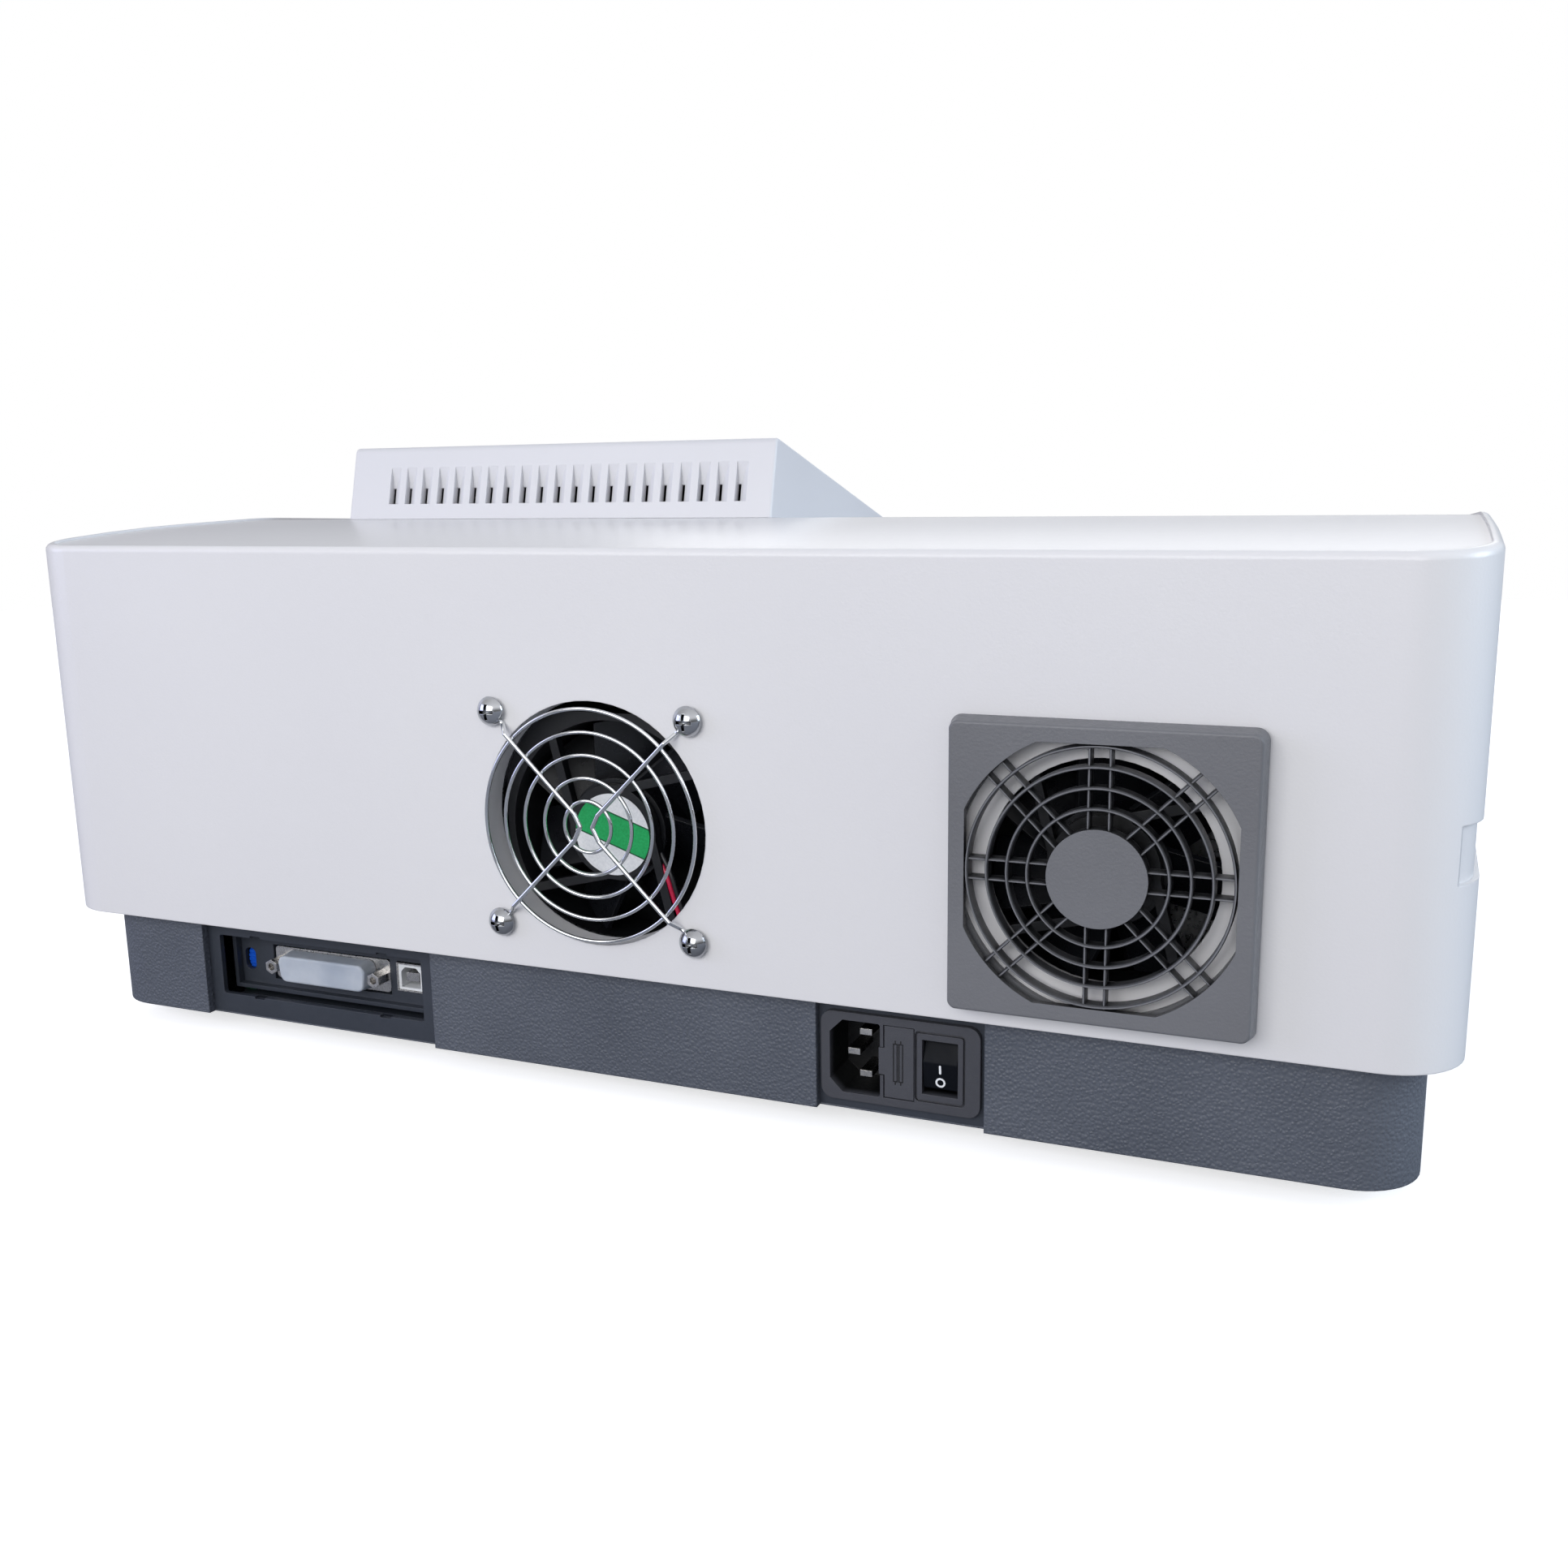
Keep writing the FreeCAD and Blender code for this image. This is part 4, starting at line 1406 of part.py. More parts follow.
side_screws = dome_screws(square(SIDE_FAN_X, SIDE_FAN_Z, FAN_HOLE_PITCH), GRILLE_Y, side_reach)
save("fan_screws", guard_screws + side_screws)
make_grille()
make_hood()
make_keypad()
make_bench()
make_chamber()
make_splitter()
save("step_motors", [make_monochromator(), make_source(), make_filters()])
make_electronics()
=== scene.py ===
import math

import bmesh
import bpy
from mathutils import Matrix, Vector


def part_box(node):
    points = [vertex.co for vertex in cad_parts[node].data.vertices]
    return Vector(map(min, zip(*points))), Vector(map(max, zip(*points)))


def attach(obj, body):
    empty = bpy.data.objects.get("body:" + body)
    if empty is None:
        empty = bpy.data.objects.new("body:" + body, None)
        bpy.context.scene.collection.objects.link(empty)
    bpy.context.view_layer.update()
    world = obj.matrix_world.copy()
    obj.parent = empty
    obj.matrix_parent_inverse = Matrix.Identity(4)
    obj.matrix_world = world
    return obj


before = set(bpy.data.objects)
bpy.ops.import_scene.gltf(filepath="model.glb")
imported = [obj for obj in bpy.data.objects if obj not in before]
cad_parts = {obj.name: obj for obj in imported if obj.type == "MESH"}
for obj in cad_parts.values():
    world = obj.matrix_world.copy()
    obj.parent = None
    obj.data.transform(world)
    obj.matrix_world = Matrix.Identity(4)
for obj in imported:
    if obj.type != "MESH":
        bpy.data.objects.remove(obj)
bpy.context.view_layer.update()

# Looks of the double beam spectrophotometer, in metres, with its rear panel towards +Y.

# Camera, fitted to the photograph
LENS = 34.52
SENSOR = 36.0
CAMERA_PLACE = Vector((-0.23029, 0.60474, 0.20671))
CAMERA_FORWARD = Vector((0.37980, -0.90307, -0.20055)).normalized()
CAMERA_RIGHT = Vector((-0.92291, -0.38470, -0.01549)).normalized()

# Light from all round, dimmer towards -X: its levels, and where along x it changes
WORLD_LEVEL = 0.57
WORLD_DIM = 0.42
DIM_END = -0.9
DIM_START = -0.1

# Reflections of the studio, darker towards +X
STUDIO_DIM = 0.6
STUDIO_DIM_START = -0.1
STUDIO_DIM_END = 0.8

FLOOR_SIZE = 4.0
FLOOR_GLOW = 0.62

# Height of a direction, and how bright the studio looks there in reflections
REFLECTED = ((-1.0, 0.50), (-0.04, 0.50), (0.03, 0.08), (0.16, 0.30), (0.45, 1.10), (1.0, 0.85))

# Label and leads of the centre fan
BRACKET_PLATE = 0.0015
LABEL_R = 0.0138
LABEL_THICKNESS = 0.00012
LABEL_BEVEL = LABEL_THICKNESS * 0.4
LABEL_TURN = 19.0
LABEL_DROP = 0.0009
BAND_LOW = -0.0030
BAND_HIGH = 0.0066
BAND_EDGE = 0.0005
LEAD_R = 0.00085
LEAD_SPACING = 0.0016
LEAD_SLANT = 0.3
LEAD_SINK = 0.0022

# Places of the red lead across and up from the label's middle
LEAD_ROUTE = (
    (-0.0150, -0.0060), (-0.0190, -0.0112), (-0.0215, -0.0200), (-0.0245, -0.0285), (-0.0262, -0.0345))

# Liner of the small socket
SOCKET_SHELL = 0.0006
SOCKET_OPENING = (0.0084, 0.0077)
SOCKET_BEVEL = 0.0018
SOCKET_FACE = -0.0004
SOCKET_BACK = -0.0080

# Printed marks: ink on both sides of a surface, the rocker's bar and ring, the drawer's fuse symbol
INK = 0.00012
BAR_SIZE = (0.0007, 0.0029)
BAR_CORNER = 0.0002
BAR_RISE = 0.0023
RING_DROP = 0.0021
RING_INNER = 0.0010
RING_OUTER = 0.0016
DRAWER_MIDDLE = 0.0051
FUSE_LINE = 0.0003
FUSE_LENGTH = 0.0124
FUSE_WIDTH = 0.0012
FUSE_SHIFT = 0.0009
FUSE_STUB = 0.0010
FUSE_STUB_SHIFT = 0.0006

# Screen, figures and arrows at the front
SCREEN_SIZE = (0.132, 0.070)
SCREEN_CORNER = 0.001
FIGURES = ("789", "456", "123", "0")
FIRST_FIGURE_COLUMN = 4
FIGURE_SIZE = 0.0085
FIGURE_THICKNESS = 0.00005
FIGURE_LIFT = 0.00004
ARROW = ((-0.0030, -0.0020), (0.0030, -0.0020), (0.0, 0.0030))

# Column and row of each key with an arrow, and how far its arrow is turned
ARROW_KEYS = ((1, 0, 0), (1, 2, 180), (0, 1, 90), (2, 1, -90))

# Corners closer than this are one corner
WELD = 1e-6

X_AXIS, Y_AXIS, Z_AXIS = Vector((1, 0, 0)), Vector((0, 1, 0)), Vector((0, 0, 1))


# Colours and node helpers

def srgb(text):
    """Linear colour of a hex colour as it looks on a screen."""
    values = [int(text[i:i + 2], 16) / 255 for i in (0, 2, 4)]
    linear = [v / 12.92 if v <= 0.04045 else ((v + 0.055) / 1.055) ** 2.4 for v in values]
    return (*linear, 1.0)


def add(tree, kind, **values):
    """New shader node with its inputs, or else its settings, given by name."""
    node = tree.nodes.new("ShaderNode" + kind)
    for key, value in values.items():
        name = key.replace("_", " ")
        if name in node.inputs:
            node.inputs[name].default_value = value
        else:
            setattr(node, key, value)
    return node


def start(name, rough, metal=0.0, **values):
    """New material with its shader's plain values set."""
    mat = bpy.data.materials.new(name)
    mat.use_nodes = True
    tree = mat.node_tree
    shader = tree.nodes["Principled BSDF"]
    shader.inputs["Roughness"].default_value = rough
    shader.inputs["Metallic"].default_value = metal
    for key, value in values.items():
        shader.inputs[key.replace("_", " ")].default_value = value
    return mat, tree, shader


def place(tree):
    """Socket with the place on the piece, in its own axes."""
    return add(tree, "TexCoord").outputs["Object"]


def noise(tree, scale, detail=2.0, stretch=None):
    """Noise over the piece's own place, stretched along the axes where stretch is given."""
    node = add(tree, "TexNoise", Scale=scale, Detail=detail)
    where = place(tree)
    if stretch:
        mapping = add(tree, "Mapping", Scale=stretch)
        tree.links.new(where, mapping.inputs["Vector"])
        where = mapping.outputs["Vector"]
    tree.links.new(where, node.inputs["Vector"])
    return node.outputs["Fac"]


def spread(tree, fac, low, high, start_at=0.3, end_at=0.7):
    """Turns a noise into values from low to high."""
    node = add(tree, "MapRange")
    for name, value in (("From Min", start_at), ("From Max", end_at), ("To Min", low), ("To Max", high)):
        node.inputs[name].default_value = value
    tree.links.new(fac, node.inputs["Value"])
    return node.outputs["Result"]


def blend(tree, fac, first, second):
    """Colour between two colours or sockets."""
    node = add(tree, "Mix", data_type="RGBA")
    tree.links.new(fac, node.inputs[0])
    for socket, colour in ((node.inputs[6], first), (node.inputs[7], second)):
        if isinstance(colour, tuple):
            socket.default_value = colour
        else:
            tree.links.new(colour, socket)
    return node.outputs[2]


def relief(tree, shader, height, depth, edge=0.0):
    """Bump of a height in metres, over edges that look rounded by a radius."""
    bump = add(tree, "Bump", Strength=1.0, Distance=depth)
    tree.links.new(height, bump.inputs["Height"])
    if edge:
        bevel = add(tree, "Bevel", samples=4, Radius=edge)
        tree.links.new(bevel.outputs["Normal"], bump.inputs["Normal"])
    tree.links.new(bump.outputs["Normal"], shader.inputs["Normal"])


def plastic(name, light, dark, rough, grain, depth, edge=0.0003, patch=14.0, uneven=0.055, **values):
    """Moulded plastic or paint: a fine grain, uneven gloss and a faint drift of colour."""
    mat, tree, shader = start(name, rough, **values)
    drift = spread(tree, noise(tree, patch), 0.0, 1.0)
    tree.links.new(blend(tree, drift, srgb(dark), srgb(light)), shader.inputs["Base Color"])
    gloss = spread(tree, noise(tree, grain * 0.35), rough - uneven, rough + uneven)
    tree.links.new(gloss, shader.inputs["Roughness"])
    relief(tree, shader, noise(tree, grain, 3.0), depth, edge)
    return mat


def leather(name, light, dark, rough, pebble, depth, edge=0.0004, **values):
    """Dark moulded plastic with a pebbled leather grain."""
    mat, tree, shader = start(name, rough, **values)
    cells = add(tree, "TexVoronoi", feature="SMOOTH_F1", Scale=pebble, Smoothness=0.35)
    warp = noise(tree, pebble * 0.5, 2.0)
    shift = add(tree, "VectorMath", operation="MULTIPLY_ADD")
    shift.inputs[1].default_value = (0.0009, 0.0009, 0.0009)
    tree.links.new(warp, shift.inputs[0])
    tree.links.new(place(tree), shift.inputs[2])
    tree.links.new(shift.outputs["Vector"], cells.inputs["Vector"])
    pebbles = spread(tree, cells.outputs["Distance"], 1.0, 0.0, 0.1, 0.75)
    tone = blend(tree, spread(tree, noise(tree, 22.0, 4.0), 0.0, 1.0), srgb(dark), srgb(light))
    tree.links.new(tone, shader.inputs["Base Color"])
    tree.links.new(spread(tree, pebbles, rough + 0.08, rough - 0.06, 0.0, 1.0), shader.inputs["Roughness"])
    relief(tree, shader, pebbles, depth, edge)
    return mat


def painted_shade_inside(mat, level, fade, colour):
    """Paints shade into a material from a level on, inwards from the rear: painted shade for deep recesses.
    """
    tree = mat.node_tree
    shader = tree.nodes["Principled BSDF"]
    surface = shader.inputs["Base Color"].links[0].from_socket
    axes = add(tree, "SeparateXYZ")
    tree.links.new(place(tree), axes.inputs["Vector"])
    inside = spread(tree, axes.outputs["Y"], 1.0, 0.0, level - fade, level)
    tree.links.new(blend(tree, inside, surface, srgb(colour)), shader.inputs["Base Color"])
    return mat


def painted_shade_in_nooks(mat, reach, colour):
    """Paints shade into a material in narrow recesses found by ambient occlusion, where shade falls."""
    tree = mat.node_tree
    shader = tree.nodes["Principled BSDF"]
    surface = shader.inputs["Base Color"].links[0].from_socket
    nook = add(tree, "AmbientOcclusion", samples=8, only_local=True, Distance=reach)
    open_share = spread(tree, nook.outputs["AO"], 0.0, 1.0, 0.45, 0.85)
    tree.links.new(blend(tree, open_share, srgb(colour), surface), shader.inputs["Base Color"])
    return mat


def metal(name, light, dark, rough, brush=None, depth=0.000008, edge=0.0002, **values):
    """Metal with a cloudy tone and either a fine grain or a brushed direction."""
    mat, tree, shader = start(name, rough, metal=1.0, **values)
    drift = spread(tree, noise(tree, 60.0, 4.0), 0.0, 1.0)
    tree.links.new(blend(tree, drift, srgb(dark), srgb(light)), shader.inputs["Base Color"])
    grain = noise(tree, 700.0, 3.0, brush)
    tree.links.new(spread(tree, grain, rough * 0.7, rough * 1.35), shader.inputs["Roughness"])
    relief(tree, shader, grain, depth, edge)
    return mat


def glass(name, tint, rough, see_through):
    """Clear or tinted glass with faint dust in its gloss."""
    mat, tree, shader = start(name, rough, Transmission_Weight=see_through, IOR=1.47)
    drift = spread(tree, noise(tree, 90.0, 2.0), 0.0, 1.0)
    pale = tuple(min(1.0, c * 1.06) for c in srgb(tint)[:3]) + (1.0,)
    tree.links.new(blend(tree, drift, srgb(tint), pale), shader.inputs["Base Color"])
    tree.links.new(spread(tree, noise(tree, 400.0), rough, rough + 0.05), shader.inputs["Roughness"])
    return mat


def milky():
    """Translucent soft plastic: white, waxy, with light passing into it."""
    mat, tree, shader = start(
        "milky_plastic", 0.42, Subsurface_Weight=0.6, Subsurface_Scale=0.004,
        Transmission_Weight=0.18, IOR=1.45)
    shader.inputs["Subsurface Radius"].default_value = (1.0, 0.9, 0.85)
    drift = spread(tree, noise(tree, 70.0, 3.0), 0.0, 1.0)
    tree.links.new(blend(tree, drift, srgb("B2BCCB"), srgb("D2D9E4")), shader.inputs["Base Color"])
    relief(tree, shader, noise(tree, 500.0, 2.0), 0.00003, 0.0006)
    return mat


def board():
    """Green circuit board with paler tracks that run along and across it."""
    mat, tree, shader = start("board_green", 0.38)
    tracks = add(tree, "TexVoronoi", feature="DISTANCE_TO_EDGE", distance="MANHATTAN", Scale=260.0)
    tree.links.new(place(tree), tracks.inputs["Vector"])
    line = spread(tree, tracks.outputs["Distance"], 1.0, 0.0, 0.03, 0.06)
    tree.links.new(blend(tree, line, srgb("0E4A2C"), srgb("2C7C4E")), shader.inputs["Base Color"])
    relief(tree, shader, line, 0.00004)
    return mat


def label_ink(centre):
    """White label with a green band across it, turned a little."""
    mat, tree, shader = start("fan_label_print", 0.35)
    mapping = add(tree, "Mapping", vector_type="POINT")
    mapping.inputs["Location"].default_value = -centre
    turn = add(tree, "VectorRotate", rotation_type="Y_AXIS", Angle=math.radians(LABEL_TURN))
    tree.links.new(place(tree), mapping.inputs["Vector"])
    tree.links.new(mapping.outputs["Vector"], turn.inputs["Vector"])
    axes = add(tree, "SeparateXYZ")
    tree.links.new(turn.outputs["Vector"], axes.inputs["Vector"])
    fibre = spread(tree, noise(tree, 1500.0), 0.0, 1.0)
    colour = blend(tree, fibre, srgb("E4E6E8"), srgb("F2F3F4"))
    green = blend(tree, fibre, srgb("12A052"), srgb("22B465"))
    for grow, ink in ((BAND_EDGE, srgb("0F5A36")), (0.0, green)):
        inside = add(tree, "Math", operation="COMPARE")
        inside.inputs[1].default_value = (BAND_LOW + BAND_HIGH) / 2
        inside.inputs[2].default_value = (BAND_HIGH - BAND_LOW) / 2 + grow
        tree.links.new(axes.outputs["Z"], inside.inputs[0])
        colour = blend(tree, inside.outputs["Value"], colour, ink)
    tree.links.new(colour, shader.inputs["Base Color"])
    relief(tree, shader, noise(tree, 1200.0), 0.00001)
    return mat


# Mesh helpers

def link(name, data):
    """New object in the scene that shows some data."""
    item = bpy.data.objects.new(name, data)
    bpy.context.scene.collection.objects.link(item)
    return item


def to_mesh(shape, name):
    """Mesh of a finished shape."""
    mesh = bpy.data.meshes.new(name)
    shape.to_mesh(mesh)
    shape.free()
    return mesh


def join_loops(shape, loops):
    """Faces from each loop of corners to the next, and from the last to the first."""
    for first, second in zip(loops, loops[1:] + loops[:1]):
        for i in range(len(first)):
            j = (i + 1) % len(first)
            shape.faces.new((first[i], first[j], second[j], second[i]))


def finish_piece(name, data, mat, body, matrix=Matrix.Identity(4)):
    """Turns a mesh or a curve into a piece that rides on a body."""
    piece = link(name, data)
    piece.matrix_world = matrix
    data.materials.append(mat)
    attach(piece, body)


def plate_mesh(name, outlines, origin, across, up, out, low, high, bevel=0.0):
    """Mesh of flat closed outlines in the plane of across and up, raised from low to high along out."""
    shape = bmesh.new()
    for points in outlines:
        rings = []
        for level in (low, high):
            rings.append([shape.verts.new(origin + across * u + up * v + out * level) for u, v in points])
        bottom, top = rings
        shape.faces.new(bottom[::-1])
        lid = shape.faces.new(top)
        for i in range(len(points)):
            j = (i + 1) % len(points)
            shape.faces.new((bottom[i], bottom[j], top[j], top[i]))
        if bevel:
            edges = list(lid.edges)
            bmesh.ops.bevel(shape, geom=edges, offset=bevel, segments=2, affect="EDGES", profile=0.5)
    bmesh.ops.recalc_face_normals(shape, faces=shape.faces)
    return to_mesh(shape, name)


def ring_mesh(name, origin, across, up, out, inner, outer, low, high, steps=48):
    """Mesh of a flat ring."""
    shape = bmesh.new()
    loops = []
    for radius, level in ((inner, low), (outer, low), (outer, high), (inner, high)):
        loop = []
        for i in range(steps):
            angle = 2 * math.pi * i / steps
            where = across * (radius * math.cos(angle)) + up * (radius * math.sin(angle)) + out * level
            loop.append(shape.verts.new(origin + where))
        loops.append(loop)
    join_loops(shape, loops)
    bmesh.ops.recalc_face_normals(shape, faces=shape.faces)
    return to_mesh(shape, name)


def circle(radius, steps=64):
    """Outline of a circle."""
    angles = [2 * math.pi * i / steps for i in range(steps)]
    return [(radius * math.cos(a), radius * math.sin(a)) for a in angles]


def turned(points, degrees):
    """Outline turned about its origin."""
    angle = math.radians(degrees)
    return [
        (x * math.cos(angle) - y * math.sin(angle), x * math.sin(angle) + y * math.cos(angle))
        for x, y in points]


def rectangle(width, height, u=0.0, v=0.0, corner=0.0, steps=5):
    """Outline of a rectangle about (u, v), with rounded corners where corner is given."""
    if not corner:
        return [(u + sx * width / 2, v + sy * height / 2) for sx, sy in ((-1, -1), (1, -1), (1, 1), (-1, 1))]
    points = []
    for quarter, (sx, sy) in enumerate(((1, 1), (-1, 1), (-1, -1), (1, -1))):
        for i in range(steps + 1):
            angle = math.radians(90 * quarter + 90 * i / steps)
            x = u + sx * (width / 2 - corner) + corner * math.cos(angle)
            y = v + sy * (height / 2 - corner) + corner * math.sin(angle)
            points.append((x, y))
    return points


def tube(name, points, radius, mat, body):
    """Round lead along a smooth curve through points."""
    curve = bpy.data.curves.new(name, "CURVE")
    curve.dimensions = "3D"
    curve.bevel_depth = radius
    curve.bevel_resolution = 3
    curve.use_fill_caps = True
    spline = curve.splines.new("NURBS")
    spline.points.add(len(points) - 1)
    for point, where in zip(spline.points, points):
        point.co = (*where, 1.0)
    spline.order_u = 3
    spline.use_endpoint_u = True
    finish_piece(name, curve, mat, body)


def middle(node):
    """Middle of a node's box."""
    low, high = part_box(node)
    return (low + high) / 2


def top_plane(node):
    """Centre, across, up and outward directions of the largest face of a sloping plate."""
    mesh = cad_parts[node].data
    face = max((p for p in mesh.polygons if p.normal.z > 0.5), key=lambda p: p.area)
    out = Vector(face.normal)
    across = X_AXIS
    centre = middle(node)
    centre += out * (Vector(face.center) - centre).dot(out)
    return centre, across, out.cross(across), out


def islands(node):
    """Middle of each separate solid in a node."""
    shape = bmesh.new()
    shape.from_mesh(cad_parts[node].data)
    bmesh.ops.remove_doubles(shape, verts=shape.verts, dist=WELD)
    left = set(shape.verts)
    found = []
    while left:
        edge = [left.pop()]
        group = list(edge)
        while edge:
            for link in edge.pop().link_edges:
                for vert in link.verts:
                    if vert in left:
                        left.remove(vert)
                        edge.append(vert)
                        group.append(vert)
        lows = [min(v.co[i] for v in group) for i in range(3)]
        highs = [max(v.co[i] for v in group) for i in range(3)]
        found.append((Vector(lows) + Vector(highs)) / 2)
    shape.free()
    return found


# Materials of the carried-over nodes

def make_finishes():
    """One procedural material for each finish of the instrument."""
    zinc = metal("zinc_steel", "B9BBBE", "9EA1A6", rough=0.32)
    guard = plastic("guard_plastic", "727377", "67686C", rough=0.44, grain=1100.0, depth=0.00012, edge=0.0002)
    screw = metal("screw_steel", "C2C4C7", "A9ABAE", rough=0.14, depth=0.000004, edge=0.0003)
    inlet = plastic("inlet_plastic", "47484E", "3F4046", rough=0.40, grain=1500.0, depth=0.00005,
        edge=0.00025)
    pin = metal("pin_metal", "E2E0DC", "CECBC6", rough=0.30, depth=0.000004, edge=0.0002)
    # Painted shade: the pins' metal turns dark deeper inside the inlet, behind their tips
    pin = painted_shade_inside(pin, level=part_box("inlet_pins")[1].y - 0.0002, fade=0.0012, colour="2A2927")
    # Painted shade: the inlet's plastic turns near-black deep inside its socket
    inlet = painted_shade_inside(inlet, level=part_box("power_inlet")[1].y - 0.0008, fade=0.003, colour="08090B")
    return {
        "cover": plastic("cover_plastic", "E2E1E2", "DEDDDF", rough=0.30, grain=1100.0, depth=0.000045,
            edge=0.0006, patch=6.0, uneven=0.02),
        "hood": plastic("hood_plastic", "D6D6D9", "D1D1D5", rough=0.44, grain=1300.0, depth=0.00002,
            edge=0.0004, patch=6.0, uneven=0.02),
        "tray": leather("tray_plastic", "5A5F69", "4E535D", rough=0.46, pebble=900.0, depth=0.00022,
            edge=0.0008),
        "panel": plastic("panel_plastic", "363B45", "2E333C", rough=0.46, grain=1100.0, depth=0.00006,
            edge=0.0004),
        "inlet": inlet,
        "drawer": plastic("drawer_plastic", "494A50", "414248", rough=0.42, grain=1500.0, depth=0.00005,
            edge=0.00025),
        "black": plastic("black_plastic", "18191C", "121316", rough=0.36, grain=900.0, depth=0.00003,
            edge=0.0003),
        "rotor": plastic("rotor_plastic", "15171B", "0F1014", rough=0.30, grain=700.0, depth=0.00002,
            edge=0.0003),
        "gloss": plastic(
            "rocker_plastic", "0D1016", "090B10", rough=0.50, grain=500.0, depth=0.00001,
            edge=0.0004, Specular_IOR_Level=0.1),
        # Painted shade in the guard's recesses, beside its ribs
        "guard": painted_shade_in_nooks(guard, reach=0.012, colour="141518"),
        "bezel": plastic("bezel_plastic", "2E3036", "27292E", rough=0.40, grain=1200.0, depth=0.00004,
            edge=0.0004),
        "film": plastic("keypad_film", "5A6472", "525C6A", rough=0.30, grain=1500.0, depth=0.00003,
            edge=0.0002),
        "key": plastic("key_film", "D4D7DC", "CCCFD5", rough=0.32, grain=1500.0, depth=0.00003, edge=0.0002),
        "blue": plastic("wheel_plastic", "1E63D8", "1753C4", rough=0.16, grain=600.0, depth=0.00001,
            edge=0.0002),
        "rubber": plastic("rubber", "242427", "1B1B1E", rough=0.72, grain=1300.0, depth=0.00012, edge=0.0005),
        "paint": plastic("black_paint", "34363A", "2A2C30", rough=0.58, grain=1600.0, depth=0.00009,
            edge=0.0003),
        "motor": plastic("motor_paint", "26272A", "1F2022", rough=0.38, grain=1500.0, depth=0.00003,
            edge=0.0003),
        "ceramic": plastic("ceramic", "E6E1D6", "DAD4C8", rough=0.66, grain=1400.0, depth=0.00008,
            edge=0.0003),
        "zinc": zinc,
        "chrome": metal("chrome_wire", "E4E6E8", "D4D6D9", rough=0.07, depth=0.000002, edge=0.0),
        "nickel": metal("nickel_shell", "DEDCDA", "CAC8C6", rough=0.28, depth=0.000004, edge=0.0002),
        "pin": pin,
        # Painted shade in the screw heads' recesses
        "screw": painted_shade_in_nooks(screw, reach=0.0012, colour="16171A"),
        "alloy": metal("cast_alloy", "BEC0C3", "A8AAAE", rough=0.38, brush=(1.0, 30.0, 30.0)),
        "mirror": metal("mirror_coating", "F0F2F4", "E8EAEE", rough=0.03, depth=0.0000005, edge=0.0),
        "clear": glass("clear_glass", "EEF4F5", rough=0.02, see_through=0.95),
        "amber": glass("filter_glass", "C8842E", rough=0.03, see_through=0.75),
        "screen": glass("screen_glass", "3C4A4E", rough=0.08, see_through=0.0),
        "milky": milky(),
        "board": board(),
    }


FINISH_OF = {
    "cover": "cover", "sample_lid": "cover", "display_hood": "hood", "base_tray": "tray",
    "rear_panel": "panel", "port_bracket": "panel", "power_inlet": "inlet", "fuse_drawer": "drawer",
    "rocker_switch": "gloss", "centre_fan_rotor": "rotor", "side_fan_rotor": "rotor",
    "fan_frames": "black", "fan_bracket": "zinc", "wire_guard": "chrome", "fan_screws": "screw",
    "filter_guard": "guard", "filter_retainer": "guard", "display_bezel": "bezel",
    "display_panel": "screen", "keypad_sheet": "film", "keys": "key", "contrast_wheel": "blue",
    "dust_cap": "milky", "jackscrews": "nickel", "serial_port": "nickel", "usb_port": "nickel",
    "inlet_pins": "pin", "fuses": "clear", "hinge_pin": "zinc", "lid_seal": "rubber", "feet": "rubber",
    "bench_mounts": "rubber", "port_board": "board", "main_board": "board", "detector_board": "board",
    "optical_bench": "alloy", "mirror_mounts": "alloy", "splitter_mounts": "alloy",
    "grating_turret": "alloy", "mirror_holder": "alloy", "filter_wheel": "alloy",
    "concave_mirrors": "mirror", "fold_mirror": "mirror", "source_mirror": "mirror", "grating": "mirror",
    "beam_splitter": "clear", "beam_windows": "clear", "lamps": "clear", "filters": "amber",
    "sample_chamber": "paint", "cell_holders": "paint", "detectors": "paint", "splitter_housing": "paint",
    "monochromator": "paint", "monochromator_lid": "paint", "slit_plates": "zinc", "lamp_house": "zinc",
    "power_supply": "zinc", "lamp_holders": "ceramic", "step_motors": "motor",
}


def dress_nodes(finishes):
    """Gives each node the material of its finish."""
    for name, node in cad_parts.items():
        node.data.materials.clear()
        node.data.materials.append(finishes[FINISH_OF[name]])


# Pieces added to the frame

def label_middle():
    """Where the middle of the centre fan's hub meets the rear of the fan's bracket."""
    hub = middle("centre_fan_rotor")
    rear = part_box("fan_bracket")[1].y - BRACKET_PLATE
    return Vector((hub.x, rear, hub.z - LABEL_DROP))


def make_fan_label():
    """Round label on the centre fan's hub."""
    centre = label_middle()
    outline = circle(LABEL_R)
    mesh = plate_mesh(
        "fan_label", [outline], centre, X_AXIS, Z_AXIS, Y_AXIS, 0.0, LABEL_THICKNESS, LABEL_BEVEL)
    finish_piece("fan_label", mesh, label_ink(centre), "case")


def make_fan_leads():
    """The centre fan's two leads, side by side along one of its struts."""
    centre = label_middle()
    red = plastic("lead_red", "D61A4A", "BE1440", rough=0.35, grain=800.0, depth=0.00002, edge=0.0)
    black = plastic("lead_black", "202024", "17171A", rough=0.35, grain=800.0, depth=0.00002, edge=0.0)
    depths = (-LEAD_SINK, -LEAD_R, -LEAD_R, -LEAD_R, -LEAD_SINK)
    for name, mat, offset in (("lead_red", red, 0.0), ("lead_black", black, LEAD_SPACING)):
        points = []
        for (x, z), depth in zip(LEAD_ROUTE, depths):
            points.append(centre + Vector((x - offset, depth, z + offset * LEAD_SLANT)))
        tube(name, points, LEAD_R, mat, "case")


